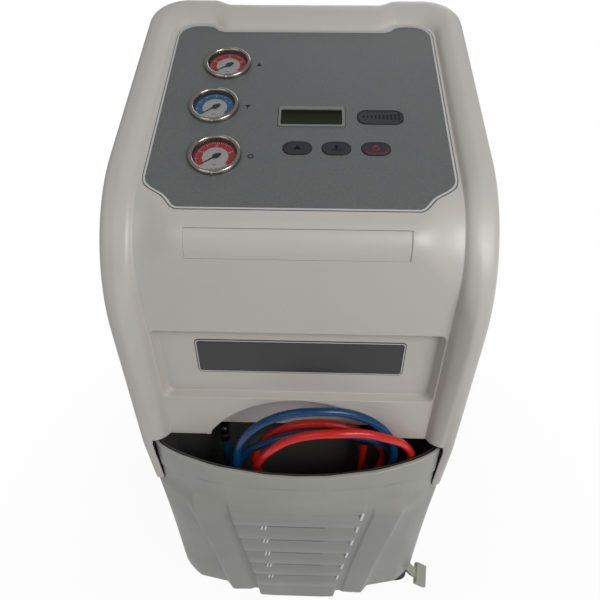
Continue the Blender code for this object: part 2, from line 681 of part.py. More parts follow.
def bin_outline(shrink):
    """The pocket in plan: a flat back and a bowed front."""
    front = []
    for step in range(-9, 10):
        x = (POCKET_HALF - shrink) * math.sin(math.radians(10 * step))
        depth = -0.038 - 0.048 * max(0.0, 1 - (x / (POCKET_HALF + 0.0001 - shrink)) ** 2) ** 0.7
        front.append((x, SILL_Y + depth + shrink))
    back = SILL_Y + POCKET_BACK + POCKET_SHEET - shrink
    return front + [(POCKET_HALF - shrink, back), (-POCKET_HALF + shrink, back)]


pocket = prism("hose_pocket", bin_outline(0.0), SILL_Z + POCKET_FLOOR - POCKET_SHEET, SILL_Z + POCKET_ROOF)
combine(pocket, prism("pocket_room", bin_outline(POCKET_SHEET), SILL_Z + POCKET_FLOOR,
                      SILL_Z + POCKET_ROOF - POCKET_SHEET, group=cutters))
combine(pocket, block("pocket_mouth", (-0.300, SILL_Y - 0.150, SILL_Z - 0.3945),
                      (0.300, SILL_Y - 0.037, SILL_Z - 0.300), cutters))
combine(pocket, prism("pocket_arch", arch_foot, -ARCH_DEPTH, 0.080, upright_plane, cutters))
FITTING_SPOTS = {"blue": (-0.125, -0.402), "red": (0.114, -0.402)}
FITTING_REACH = 0.028
FITTING_DROP = 0.024
for name, (x, z) in FITTING_SPOTS.items():
    combine(pocket, prism(f"fitting_room_{name}", circle(0.0083, 16, x, z), -0.040, -0.010, upright_plane, cutters))
finish(pocket, DARK, rough=0.6)

# Hoses: two charging hoses. Each drops from its elbow, and its turns stand on the pocket's floor.
HOSE_LEVEL = POCKET_FLOOR + HOSE_RADIUS + 0.0005
HOSE_STEP = 0.026


def loop_point(degrees, cx, cz, wide, high, lanes):
    """A point of a turn. The lanes give its depth in the pocket as (degrees, depth) pairs."""
    angle = math.radians(degrees)
    y = lanes[-1][1]
    for (a, first), (b, second) in zip(lanes, lanes[1:]):
        if min(a, b) <= degrees <= max(a, b):
            y = mix(first, second, ease((degrees - a) / (b - a)))
            break
    tall = high if math.sin(angle) > 0 else cz - HOSE_LEVEL
    return rel(cx + wide * math.cos(angle), y, cz + tall * math.sin(angle))


def spread(points, step):
    """The same route with its points at even distances."""
    lengths = [0.0]
    for a, b in zip(points, points[1:]):
        lengths.append(lengths[-1] + (b - a).length)
    count = round(lengths[-1] / step)
    result = []
    index = 0
    for i in range(count + 1):
        target = lengths[-1] * i / count
        while index < len(points) - 2 and lengths[index + 1] < target:
            index += 1
        share = (target - lengths[index]) / (lengths[index + 1] - lengths[index])
        result.append(points[index].lerp(points[index + 1], min(share, 1.0)))
    return result


def rounded_path(spots, per=8):
    """A smooth path through spots (Catmull-Rom)."""
    spots = [Vector(spot) for spot in spots]
    result = []
    for i in range(len(spots) - 1):
        p0 = spots[max(i - 1, 0)]
        p1, p2 = spots[i], spots[i + 1]
        p3 = spots[min(i + 2, len(spots) - 1)]
        for k in range(per):
            t = k / per
            result.append(0.5 * (2 * p1 + (p2 - p0) * t + (2 * p0 - 5 * p1 + 4 * p2 - p3) * t * t
                                 + (3 * p1 - p0 - 3 * p2 + p3) * t ** 3))
    result.append(spots[-1])
    return result


def rel(x, y, z):
    return Vector((x, SILL_Y + y, SILL_Z + z))


def lead(spot, meet, depth, bend):
    """From the elbow's outlet straight down, round in a wide bend and along the pocket's floor."""
    x, z = spot
    way = math.copysign(1.0, meet - x)
    line = [Vector((x, 0.0, z - FITTING_DROP - GAP)), Vector((x, 0.0, HOSE_LEVEL + bend))]
    for step in range(1, 13):
        angle = math.radians(90 * step / 12)
        line.append(Vector((x + way * bend * (1 - math.cos(angle)), 0.0, HOSE_LEVEL + bend * (1 - math.sin(angle)))))
    if abs(meet - line[-1].x) > 0.010:
        line.append(Vector((meet, 0.0, HOSE_LEVEL)))
    line = spread(line, 0.013)[:-1]
    start = POCKET_BACK - FITTING_REACH
    return [rel(point.x, mix(start, depth, ease((number / len(line) - 0.1) / 0.85)), point.z)
            for number, point in enumerate(line)]


BLUE_LANES = ((270, -0.045), (300, -0.044), (340, -0.028), (360, -0.0225), (385, -0.026), (410, -0.035),
              (450, -0.045), (540, -0.046), (565, -0.051), (590, -0.061), (660, -0.058), (700, -0.0485),
              (720, -0.044), (735, -0.046), (750, -0.049), (775, -0.053), (810, -0.062), (900, -0.062))
RED_LANES = ((270, -0.016), (180, -0.020), (90, -0.022), (35, -0.0205), (20, -0.016), (0, -0.007),
             (-30, -0.010), (-55, -0.029), (-90, -0.031), (-138, -0.032), (-175, -0.053), (-213, -0.075),
             (-270, -0.078), (-302, -0.068), (-330, -0.055), (-345, -0.048), (-360, -0.0445))

blue_turns = []
for degrees in range(270, 901, 18):
    share = ease((degrees - 480) / 150)
    blue_turns.append(loop_point(degrees, mix(0.036, 0.030, share), mix(-0.4665, -0.417, share),
                                 mix(0.133, 0.128, share), mix(0.104, 0.1255, share), BLUE_LANES))
blue_end = [rel(-0.104, -0.061, -0.455), rel(-0.110, -0.058, -0.495), rel(-0.116, -0.054, -0.5335)]
blue_route = spread(rounded_path(lead(FITTING_SPOTS["blue"], 0.036, BLUE_LANES[0][1], 0.081) + blue_turns + blue_end),
                    HOSE_STEP)
finish(cord("hose_blue", blue_route, HOSE_RADIUS), (0.03, 0.16, 0.42), rough=0.4)

red_turns = []
for degrees in range(270, -361, -18):
    share = ease((-120 - degrees) / 110)
    red_turns.append(loop_point(degrees, mix(0.0375, 0.062, share), mix(-0.4665, -0.431, share),
                                mix(0.1125, 0.126, share), mix(0.102, 0.111, share), RED_LANES))
red_end = [rel(0.191, -0.0435, -0.465), rel(0.195, -0.0395, -0.500), rel(0.199, -0.035, -0.5336)]
red_route = spread(rounded_path(lead(FITTING_SPOTS["red"], 0.0375, RED_LANES[0][1], 0.064) + red_turns + red_end),
                   HOSE_STEP)
finish(cord("hose_red", red_route, HOSE_RADIUS), (0.50, 0.04, 0.03), rough=0.4)

# Hose fittings: an elbow through the pocket's back for each hose, with its ferrule pointing down.
for name, (x, z) in FITTING_SPOTS.items():
    place = Matrix.Translation(rel(x, POCKET_BACK, z)) @ facing((0, -1, 0))
    fitting = lathe(f"hose_fitting_{name}", [
        (0.0, FITTING_REACH + 0.0070), (0.0045, FITTING_REACH + 0.0060), (0.0070, FITTING_REACH + 0.0030),
        (0.0075, FITTING_REACH), (0.0075, 0.0095), (0.0105, 0.0095), (0.0105, GAP), (0.0080, GAP),
        (0.0080, -0.0120), (0.0, -0.0120)], place, 16)
    drop = Matrix.Translation(rel(x, POCKET_BACK - FITTING_REACH, z)) @ facing((0, 0, -1))
    combine(fitting, lathe(f"fitting_ferrule_{name}", [
        (0.0, FITTING_DROP), (0.0085, FITTING_DROP), (0.0085, 0.0110), (0.0070, 0.0100), (0.0070, -0.0010),
        (0.0, -0.0010)], drop, 16, group=cutters), "UNION")
    finish(fitting, (0.75, 0.60, 0.30), 1.0, 0.3)

# A quick coupler on each hose's free end stands on the pocket's floor.
for name, route in (("blue", blue_route), ("red", red_route)):
    ahead = (route[-1] - route[-2]).normalized()
    place = Matrix.Translation(route[-1] + ahead * GAP) @ facing(ahead)
    finish(lathe(f"coupler_{name}", [
        (0.0, 0.0400), (0.0080, 0.0400), (0.0100, 0.0380), (0.0100, 0.0240), (0.0125, 0.0225),
        (0.0125, 0.0090), (0.0080, 0.0070), (0.0080, 0.0), (0.0, 0.0)], place, 16),
        (0.03, 0.16, 0.42) if name == "blue" else (0.50, 0.04, 0.03), 0.3, 0.35)

# Cabinet: a tray, a frame that stands in it, two side sheets and a louvred rear sheet.
def tray_outline(shrink):
    """The tray in plan: its front corners are cut off behind the lower cover's corners."""
    x, back, front = SIDE_FACE - 0.0027 - shrink, REAR_FACE - 0.0025 - shrink, -0.2165 + shrink
    half = SIDE_FACE - 0.0392 - shrink * 0.4
    return [(-x, back), (-x, -0.1720 + shrink * 0.4), (-half, front), (half, front),
            (x, -0.1720 + shrink * 0.4), (x, back)]


tray = prism("base_tray", tray_outline(0.0), TRAY_BOTTOM, 0.140)
combine(tray, prism("tray_room", tray_outline(0.0025), TRAY_TOP, 0.200, group=cutters))
combine(tray, block("rest_pad", (-0.120, -0.120, REST_PAD), (0.120, 0.120, TRAY_BOTTOM + 0.001), cutters), "UNION")
finish(tray, (0.12, 0.12, 0.13), rough=0.5)

POST = 0.020
POST_X = SIDE_FACE - 0.0582
FRONT_POST = SILL_Y + POCKET_BACK + POCKET_SHEET + GAP
REAR_POST = 0.170
frame_bars = []
for side in (-1, 1):
    x0, x1 = sorted((side * POST_X, side * (POST_X + POST)))
    frame_bars.append(((x0, FRONT_POST, TRAY_TOP + GAP), (x1, FRONT_POST + POST, 0.893)))
    frame_bars.append(((x0, REAR_POST, TRAY_TOP + GAP), (x1, REAR_POST + POST, 1.040)))
frame_bars.append(((-POST_X - POST, FRONT_POST, SHELF_TOP - 0.020), (POST_X + POST, REAR_POST + POST, SHELF_TOP)))
frame = block("cabinet_frame", *frame_bars[0])
for number, (low, high) in enumerate(frame_bars[1:4]):
    combine(frame, block(f"frame_bar_{number}", low, high, cutters), "UNION")
shelf = block("frame_shelf", *frame_bars[4], cutters)
combine(shelf, block("shelf_room", (-POST_X, FRONT_POST + POST, SHELF_TOP - 0.050),
                     (POST_X, REAR_POST, SHELF_TOP - 0.003), cutters))
combine(frame, shelf, "UNION")
for side in (-1, 1):
    x0, x1 = sorted((side * POST_X, side * (POST_X + POST)))
    beam = prism(f"frame_slope_{side + 1}", [(0.030, -0.030), (0.390, -0.030), (0.375, -WALL - GAP),
                 (0.060, -WALL - GAP)], x0, x1, Matrix.Translation(at(0, 0, 0))
                 @ Matrix.Rotation(TILT, 4, "X") @ across_x, cutters)
    combine(frame, beam, "UNION")
combine(frame, block("frame_cross", (-POST_X - 0.005, REAR_POST + 0.002, 0.960),
                     (POST_X + 0.005, REAR_POST + 0.018, 0.980), cutters), "UNION")
finish(frame, (0.15, 0.15, 0.16), rough=0.5)

SIDE_OUTLINE = side_profile([(0.000, -0.474), (0.045, -0.474), (0.045, -0.521), (0.008, -0.521), (0.008, -0.782),
                             (REAR_FACE - SILL_Y - 0.0015, -0.782), (REAR_FACE - SILL_Y - 0.0015, 0.112),
                             (0.336, 0.100), (0.066, -0.026), (0.026, -0.056), (0.004, -0.100), (0.000, -0.140)])
for side, name in ((-1, "left"), (1, "right")):
    x0, x1 = sorted((side * (SIDE_FACE - SHEET), side * SIDE_FACE))
    finish(prism(f"side_panel_{name}", SIDE_OUTLINE, x0, x1, across_x), (0.50, 0.50, 0.47), rough=0.5)

REAR_HALF = SIDE_FACE - SHEET - 0.0004
rear = prism("rear_panel", [(-REAR_HALF, 0.118), (REAR_HALF, 0.118), (REAR_HALF, 1.012), (REAR_HALF - 0.0428, 1.045),
             (0.0428 - REAR_HALF, 1.045), (-REAR_HALF, 1.012)], -REAR_FACE, SHEET - REAR_FACE,
             Matrix(((1, 0, 0, 0), (0, 0, -1, 0), (0, 1, 0, 0), (0, 0, 0, 1))))
for number in range(7):
    z = 0.660 + 0.028 * number
    combine(rear, block(f"louvre_{number}", (-0.120, REAR_FACE - 0.010, z), (0.120, REAR_FACE + 0.010, z + 0.010),
                        cutters))
INLET = (0.085, 0.167, 0.230, 0.262)
SWITCH = (0.145, 0.163, 0.233, 0.259)
combine(rear, block("inlet_hole", (INLET[0] - GAP, REAR_FACE - 0.010, INLET[2] - GAP),
                    (INLET[1] + GAP, REAR_FACE + 0.010, INLET[3] + GAP), cutters))
finish(rear, (0.50, 0.50, 0.47), rough=0.5)

# Power inlet with the main switch beside it, in one housing in the rear sheet.
x0, x1, z0, z1 = INLET
inlet = block("power_inlet", (x0, REAR_FACE - 0.026, z0), (x1, REAR_FACE + 0.001, z1))
combine(inlet, block("inlet_flange", (x0 - 0.004, REAR_FACE + GAP, z0 - 0.004), (x1 + 0.004, REAR_FACE + 0.0025,
                     z1 + 0.004), cutters), "UNION")
combine(inlet, block("inlet_room", (x0 + 0.010, REAR_FACE - 0.018, z0 + 0.006), (x0 + 0.040, REAR_FACE + 0.010,
                     z1 - 0.006), cutters))
for number in range(3):
    px = x0 + 0.025 + (number - 1) * 0.008
    combine(inlet, block(f"inlet_pin_{number}", (px - 0.001, REAR_FACE - 0.019, (z0 + z1) / 2 - 0.003),
                         (px + 0.001, REAR_FACE - 0.010, (z0 + z1) / 2 + 0.003), cutters), "UNION")
x0, x1, z0, z1 = SWITCH
combine(inlet, block("switch_room", (x0, REAR_FACE - 0.012, z0), (x1, REAR_FACE + 0.010, z1), cutters))
finish(inlet, (0.02, 0.02, 0.02), rough=0.5)
half_z = (z1 - z0) / 2 - 0.0012
finish(prism("main_switch", [(0.0010, -half_z), (0.0046, -half_z + 0.0006), (0.0020, 0.0), (0.0036, half_z - 0.0004),
                             (0.0010, half_z), (-0.0040, 0.0050), (-0.0060, 0.0), (-0.0040, -0.0050)],
             x0 + GAP * 2, x1 - GAP * 2,
             Matrix.Translation((0, REAR_FACE - 0.001, (z0 + z1) / 2)) @ across_x), (0.55, 0.05, 0.04), rough=0.35)

# Push handle across the rear.
HANDLE_Z = 0.990
HANDLE_X = 0.170
HANDLE_OUT = 0.280 - HANDLE_RADIUS
path = [(-HANDLE_X, REAR_FACE + 0.004, HANDLE_Z)]
for step in range(5):
    angle = math.radians(22.5 * step)
    path.append((-HANDLE_X + 0.035 * (1 - math.cos(angle)), HANDLE_OUT - 0.035 + 0.035 * math.sin(angle), HANDLE_Z))
path += [(-x, y, z) for x, y, z in reversed(path)]
handle = sweep("push_handle", path, HANDLE_RADIUS)
for side in (-1, 1):
    place = Matrix.Translation((side * HANDLE_X, REAR_FACE, HANDLE_Z)) @ facing((0, 1, 0))
    combine(handle, prism(f"handle_foot_{side + 1}", circle(0.022, 20), GAP, 0.006, place, cutters), "UNION")
finish(handle, (0.05, 0.05, 0.05), rough=0.5)

# Oil bottles in a bracket on the rear sheet.
BOTTLE_X = (-0.140, -0.072)
bracket = block("bottle_bracket", (-0.182, REAR_FACE + GAP, 0.560), (-0.030, REAR_FACE + 0.0023, 0.620))
combine(bracket, block("bracket_shelf", (-0.182, REAR_FACE + 0.001, 0.560), (-0.030, REAR_FACE + 0.068, 0.563),
                       cutters), "UNION")
combine(bracket, block("bracket_guard", (-0.182, REAR_FACE + 0.066, 0.560), (-0.030, REAR_FACE + 0.068, 0.585),
                       cutters), "UNION")
finish(bracket, (0.35, 0.35, 0.36), rough=0.5)
for number, x in enumerate(BOTTLE_X, 1):
    finish(lathe(f"oil_bottle_{number}", [
        (0.0, 0.1180), (0.0150, 0.1180), (0.0150, 0.1000), (0.0120, 0.0990), (0.0120, 0.0940),
        (0.0280, 0.0850), (0.0290, 0.0800), (0.0290, 0.0030), (0.0270, 0.0), (0.0, 0.0)],
        Matrix.Translation((x, REAR_FACE + 0.0340, 0.563 + GAP)), 20), (0.75, 0.72, 0.60), rough=0.3)

# Refrigerant tank on its weighing platform.
platform = prism("scale_platform", oblong(-0.100, 0.100, -0.100, 0.100, 0.015, 3), TRAY_TOP + GAP,
                 TRAY_TOP + 0.022, Matrix.Translation((*TANK_SPOT, 0)))
finish(platform, (0.6, 0.6, 0.6), 1.0, 0.4)
TANK_BASE = TRAY_TOP + 0.022 + GAP
finish(lathe("refrigerant_tank", [
    (0.0, 0.4100), (0.0150, 0.4100), (0.0150, 0.3700), (0.0350, 0.3660), (TANK_RADIUS - 0.025, 0.3500),
    (TANK_RADIUS - 0.005, 0.3250), (TANK_RADIUS, 0.3000), (TANK_RADIUS, 0.0450), (TANK_RADIUS - 0.007, 0.0300),
    (TANK_RADIUS - 0.010, 0.0), (TANK_RADIUS - 0.013, 0.0), (TANK_RADIUS - 0.010, 0.0310),
    (TANK_RADIUS - 0.003, 0.0460), (TANK_RADIUS - 0.003, 0.2990), (TANK_RADIUS - 0.007, 0.3230),
    (TANK_RADIUS - 0.026, 0.3460), (0.0, 0.3600)],
    Matrix.Translation((*TANK_SPOT, TANK_BASE)), 28), (0.62, 0.64, 0.62), rough=0.4)

# Compressor, vacuum pump and oil separator on the tray.
finish(lathe("compressor", [
    (0.0, 0.2000), (0.0300, 0.1980), (0.0600, 0.1850), (0.0750, 0.1600), (0.0750, 0.0500), (0.0680, 0.0250),
    (0.0800, 0.0200), (0.0800, 0.0), (0.0550, 0.0), (0.0550, 0.0900), (0.0, 0.0900)],
    Matrix.Translation((0.110, 0.090, TRAY_TOP + GAP)), 24), DARK, rough=0.4)
pump = block("vacuum_pump", (0.065, -0.110, TRAY_TOP + GAP), (0.165, 0.000, 0.150))
combine(pump, prism("pump_motor", circle(0.048, 20, 0.115, 0.190), -0.000, 0.115,
                    Matrix(((1, 0, 0, 0), (0, 0, -1, 0.002), (0, 1, 0, 0), (0, 0, 0, 1))), cutters), "UNION")
combine(pump, block("pump_foot", (0.085, -0.105, 0.140), (0.145, -0.005, 0.170), cutters), "UNION")
finish(pump, (0.10, 0.14, 0.28), rough=0.4)
finish(lathe("oil_separator", [
    (0.0, 0.2600), (0.0200, 0.2580), (0.0360, 0.2450), (0.0400, 0.2300), (0.0400, 0.0200), (0.0300, 0.0),
    (0.0, 0.0)], Matrix.Translation((-0.120, -0.090, TRAY_TOP + GAP)), 20), (0.35, 0.36, 0.38), rough=0.4)

# Condenser with its fan, filter drier and valve block on the shelf.
CONDENSER = (-0.130, 0.130, SHELF_TOP + GAP, SHELF_TOP + 0.225)
FAN_SPOT = (0.0, 0.716)
condenser = block("condenser", (CONDENSER[0], 0.118, CONDENSER[2]), (CONDENSER[1], 0.158, CONDENSER[3]))
to_rear = Matrix(((1, 0, 0, 0), (0, 0, 1, 0), (0, 1, 0, 0), (0, 0, 0, 1)))
combine(condenser, prism("fan_ring", circle(0.104, 28, *FAN_SPOT), -0.105 - 0.0, -0.060,
                         Matrix(((1, 0, 0, 0), (0, 0, -1, 0.020), (0, 1, 0, 0), (0, 0, 0, 1))), cutters), "UNION")
motor_place = Matrix(((1, 0, 0, 0), (0, 0, -1, 0.020), (0, 1, 0, 0), (0, 0, 0, 1)))
combine(condenser, prism("fan_ring_room", circle(0.098, 28, *FAN_SPOT), -0.094, -0.040,
                         Matrix(((1, 0, 0, 0), (0, 0, -1, 0.020), (0, 1, 0, 0), (0, 0, 0, 1))), cutters))
combine(condenser, prism("fan_motor", circle(0.020, 16, *FAN_SPOT), -0.100, -0.0903, motor_place, cutters),
        "UNION")
finish(condenser, (0.5, 0.5, 0.52), 1.0, 0.4)
blades = []
for number in range(5):
    base = 72 * number
    for degrees, radius in ((0, 0.026), (14, 0.092), (44, 0.092), (52, 0.026)):
        angle = math.radians(base + degrees)
        blades.append((FAN_SPOT[0] + radius * math.cos(angle), FAN_SPOT[1] + radius * math.sin(angle)))
rotor_place = Matrix(((1, 0, 0, 0), (0, 0, -1, 0.110), (0, 1, 0, 0), (0, 0, 0, 1)))
finish(prism("fan_rotor", blades, 0.0, 0.018, rotor_place), (0.05, 0.05, 0.05), rough=0.5)
finish(lathe("filter_drier", [
    (0.0, 0.1500), (0.0200, 0.1490), (0.0380, 0.1350), (0.0400, 0.1250), (0.0400, 0.0200), (0.0340, 0.0),
    (0.0, 0.0)], Matrix.Translation((0.130, -0.060, SHELF_TOP + GAP)), 20), (0.55, 0.12, 0.05), rough=0.4)
manifold = block("valve_manifold", (-0.130, -0.100, SHELF_TOP + GAP), (0.040, -0.050, 0.640))
for number in range(4):
    vx = -0.108 + 0.042 * number
    combine(manifold, prism(f"valve_{number}", circle(0.014, 12, vx, -0.075), 0.635, 0.690, group=cutters), "UNION")
finish(manifold, (0.6, 0.55, 0.4), 1.0, 0.4)

# Rear axle in two brackets under the tray, and the wheels outside the body.
axle_line = Matrix.Translation((0, AXLE_Y, WHEEL_RADIUS)) @ facing((1, 0, 0))
axle = lathe("rear_axle", [(0.0, WHEEL_OUTER - 0.009), (AXLE_RADIUS - 0.001, WHEEL_OUTER - 0.009),
                           (AXLE_RADIUS, WHEEL_OUTER - 0.010), (AXLE_RADIUS, -WHEEL_OUTER + 0.010),
                           (AXLE_RADIUS - 0.001, -WHEEL_OUTER + 0.009), (0.0, -WHEEL_OUTER + 0.009)],
             axle_line, 20)
finish(axle, STEEL, 1.0, 0.3)
for side in (-1, 1):
    x0, x1 = sorted((side * (HALF_BODY - 0.050), side * (HALF_BODY - 0.024)))
    hanger = block(f"axle_hanger_{side + 1}", (x0, AXLE_Y - 0.020, WHEEL_RADIUS - AXLE_RADIUS - 0.008),
                   (x1, AXLE_Y + 0.020, TRAY_BOTTOM + 0.0015), cutters)
    combine(tray, hanger, "UNION")
combine(tray, lathe("axle_room", [(0.0, WHEEL_OUTER), (AXLE_RADIUS + GAP, WHEEL_OUTER),
                                  (AXLE_RADIUS + GAP, -WHEEL_OUTER), (0.0, -WHEEL_OUTER)], axle_line, 20,
                    group=cutters))
for side, name in ((-1, "left"), (1, "right")):
    place = Matrix.Translation((0, AXLE_Y, WHEEL_RADIUS)) @ facing((side, 0, 0))
    finish(lathe(f"rear_wheel_{name}", [
        (0.0, WHEEL_OUTER - 0.004), (0.0180, WHEEL_OUTER - 0.005), (0.0220, WHEEL_OUTER - 0.012),
        (0.0640, WHEEL_OUTER - 0.012), (0.0700, WHEEL_OUTER - 0.006), (0.0780, WHEEL_OUTER - 0.003),
        (0.0900, WHEEL_OUTER), (0.0965, WHEEL_OUTER - 0.003), (WHEEL_RADIUS, WHEEL_OUTER - 0.010),
        (WHEEL_RADIUS, WHEEL_INNER + 0.010), (0.0965, WHEEL_INNER + 0.003), (0.0900, WHEEL_INNER),
        (0.0780, WHEEL_INNER + 0.003), (0.0700, WHEEL_INNER + 0.008), (0.0220, WHEEL_INNER + 0.010),
        (0.0220, WHEEL_INNER), (AXLE_RADIUS + GAP, WHEEL_INNER), (AXLE_RADIUS + GAP, WHEEL_OUTER - 0.0085),
        (0.0, WHEEL_OUTER - 0.0085)], place, 28), (0.03, 0.03, 0.03), rough=0.7)

# Front casters: a plate under the tray, a fork that swivels, a wheel and a brake pedal.
PIVOT = (0.038, 0.0775)
xz_plane = Matrix(((1, 0, 0, 0), (0, 0, -1, 0), (0, 1, 0, 0), (0, 0, 0, 1)))
for side, name, yaw in ((-1, "left", 0.0), (1, "right", -13.0)):
    place = Matrix.Translation((side * CASTER_X, CASTER_Y, 0)) @ Matrix.Rotation(math.radians(yaw), 4, "Z")
    fixed = Matrix.Translation((side * CASTER_X, CASTER_Y, 0))
    plate = prism(f"caster_plate_{name}", oblong(-0.030, 0.030, -0.030, 0.030, 0.005, 2), TRAY_BOTTOM - 0.0033,
                  TRAY_BOTTOM - GAP, fixed)
    combine(plate, prism(f"caster_ring_{name}", circle(0.021, 20), TRAY_BOTTOM - 0.0080, TRAY_BOTTOM - 0.0020,
                         fixed, cutters), "UNION")
    finish(plate, STEEL, 1.0, 0.35)
    head = TRAY_BOTTOM - 0.0080 - GAP
    fork = prism(f"caster_fork_{name}", circle(0.022, 20), head - 0.007, head, place)
    leg = [(-0.018, head - 0.003), (0.020, head - 0.003), (0.0400, 0.0835), (0.0430, 0.0800), (0.0430, 0.0740),
           (0.034, 0.034), (0.014, 0.029), (-0.008, 0.070)]
    for way in (-1, 1):
        y0, y1 = sorted((way * 0.0145, way * 0.0172))
        combine(fork, prism(f"caster_leg_{name}_{way + 1}", leg, y0, y1, place @ xz_plane, cutters), "UNION")
    combine(fork, prism(f"caster_bolt_{name}", circle(0.004, 12, CASTER_TRAIL, CASTER_RADIUS), -0.0185, 0.0185,
                        place @ xz_plane, cutters), "UNION")
    combine(fork, prism(f"caster_pin_{name}", circle(0.0025, 10, *PIVOT), -0.0160, 0.0160, place @ xz_plane,
                        cutters), "UNION")
    finish(fork, STEEL, 1.0, 0.35)
    finish(lathe(f"caster_wheel_{name}", [
        (0.0043, 0.0135), (0.0120, 0.0135), (0.0130, 0.0090), (0.0270, 0.0090), (0.0290, 0.0120),
        (0.0345, 0.0120), (CASTER_RADIUS, 0.0080), (CASTER_RADIUS, -0.0080), (0.0345, -0.0120),
        (0.0290, -0.0120), (0.0270, -0.0090), (0.0130, -0.0090), (0.0120, -0.0135), (0.0043, -0.0135)],
        place @ Matrix.Translation((CASTER_TRAIL, 0, CASTER_RADIUS)) @ facing((0, 1, 0)), 24, ring=True),
        (0.04, 0.04, 0.045), rough=0.6)
    arm = [(0.0340, 0.0752), (0.0420, 0.0727), (0.0600, 0.0615), (0.0680, 0.0450), (0.0780, 0.0400),
           (0.1000, 0.0330), (0.1010, 0.0370), (0.0800, 0.0450), (0.0730, 0.0500), (0.0645, 0.0650),
           (0.0480, 0.0755), (0.0410, 0.0810), (0.0360, 0.0815), (0.0335, 0.0790)]
    pedal = prism(f"caster_brake_{name}", arm, -0.0110, 0.0110, place @ xz_plane)
    combine(pedal, prism(f"pedal_bar_{name}", [(0.084, 0.0360), (0.1015, 0.0300), (0.1030, 0.0360), (0.086, 0.0430)],
                         -0.0225, 0.0225, place @ xz_plane, cutters), "UNION")
    combine(pedal, prism(f"pedal_hole_{name}", circle(0.0025 + GAP, 10, *PIVOT), -0.0200, 0.0200,
                         place @ xz_plane, cutters))
    finish(pedal, (0.45, 0.45, 0.38), rough=0.5)
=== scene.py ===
"""Looks of the service station for car air conditioning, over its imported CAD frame."""

import math

import bmesh
import bpy
from mathutils import Matrix, Vector


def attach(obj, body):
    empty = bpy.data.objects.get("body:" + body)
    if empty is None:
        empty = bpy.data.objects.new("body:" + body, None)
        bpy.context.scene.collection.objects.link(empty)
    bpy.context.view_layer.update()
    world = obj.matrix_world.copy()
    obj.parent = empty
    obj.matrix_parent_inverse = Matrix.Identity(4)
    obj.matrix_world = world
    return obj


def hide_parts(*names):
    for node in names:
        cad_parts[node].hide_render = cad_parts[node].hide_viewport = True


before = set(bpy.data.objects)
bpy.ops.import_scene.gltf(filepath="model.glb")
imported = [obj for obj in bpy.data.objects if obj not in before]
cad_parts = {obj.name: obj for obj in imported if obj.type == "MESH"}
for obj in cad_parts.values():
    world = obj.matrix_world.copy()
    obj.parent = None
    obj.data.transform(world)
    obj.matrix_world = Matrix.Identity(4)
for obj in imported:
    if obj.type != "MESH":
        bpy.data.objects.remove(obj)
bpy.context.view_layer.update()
scene = bpy.context.scene
scene.view_settings.view_transform = "Standard"

# Camera.
# It stands above and in front of the console, where the photograph was taken, and looks down at it.
CAMERA_SPOT = Vector((0.01761, -0.72379, 1.1551))
camera_right = Vector((0.99959, 0.02846, 0.00203))
camera_up = Vector((-0.01823, 0.58224, 0.81282))
camera_data = bpy.data.cameras.new("photo_camera")
camera_data.sensor_width = 36.0
camera_data.lens = 29.05
camera = bpy.data.objects.new("photo_camera", camera_data)
scene.collection.objects.link(camera)
turn = Matrix((camera_right, camera_up, camera_right.cross(camera_up))).transposed().to_4x4()
camera.matrix_world = Matrix.Translation(CAMERA_SPOT) @ turn
scene.camera = camera

# Charging hoses.
# Two rubber hoses, one blue and one red, each crimped to a black elbow in the pocket's back wall. Their
# turns stand on the pocket's floor, and each free end carries a quick coupler for the car's service port.
SILL_Y = -0.180
SILL_Z = 0.900
HOSE_RADIUS = 0.0065
HOSE_LEVEL = -0.575 + HOSE_RADIUS + 0.0005
FITTING_SPOTS = {"blue": (-0.125, -0.402), "red": (0.114, -0.402)}
FITTING_FRONT = -0.006


def mix(a, b, share):
    return a + (b - a) * share


def ease(value):
    value = min(max(value, 0.0), 1.0)
    return value * value * (3 - 2 * value)


def rel(x, y, z):
    """A point counted from the middle of the console's lower edge."""
    return Vector((x, SILL_Y + y, SILL_Z + z))


def loop_point(degrees, cx, cz, wide, high, lanes):
    """A point of a turn. The lanes give its depth in the pocket as (degrees, depth) pairs."""
    angle = math.radians(degrees)
    y = lanes[-1][1]
    for (a, first), (b, second) in zip(lanes, lanes[1:]):
        if min(a, b) <= degrees <= max(a, b):
            y = mix(first, second, ease((degrees - a) / (b - a)))
            break
    tall = high if math.sin(angle) > 0 else cz - HOSE_LEVEL
    return rel(cx + wide * math.cos(angle), y, cz + tall * math.sin(angle))


def spread(points, step):
    """The same route with its points at even distances."""
    lengths = [0.0]
    for a, b in zip(points, points[1:]):
        lengths.append(lengths[-1] + (b - a).length)
    count = round(lengths[-1] / step)
    result = []
    index = 0
    for i in range(count + 1):
        target = lengths[-1] * i / count
        while index < len(points) - 2 and lengths[index + 1] < target:
            index += 1
        share = (target - lengths[index]) / (lengths[index + 1] - lengths[index])
        result.append(points[index].lerp(points[index + 1], min(share, 1.0)))
    return result


def rounded_path(spots, per=8):
    """A smooth path through spots (Catmull-Rom)."""
    result = []
    for i in range(len(spots) - 1):
        p0, p3 = spots[max(i - 1, 0)], spots[min(i + 2, len(spots) - 1)]
        p1, p2 = spots[i], spots[i + 1]
        for k in range(per):
            t = k / per
            result.append(0.5 * (2 * p1 + (p2 - p0) * t + (2 * p0 - 5 * p1 + 4 * p2 - p3) * t * t
                                 + (3 * p1 - p0 - 3 * p2 + p3) * t ** 3))
    result.append(spots[-1])
    return result


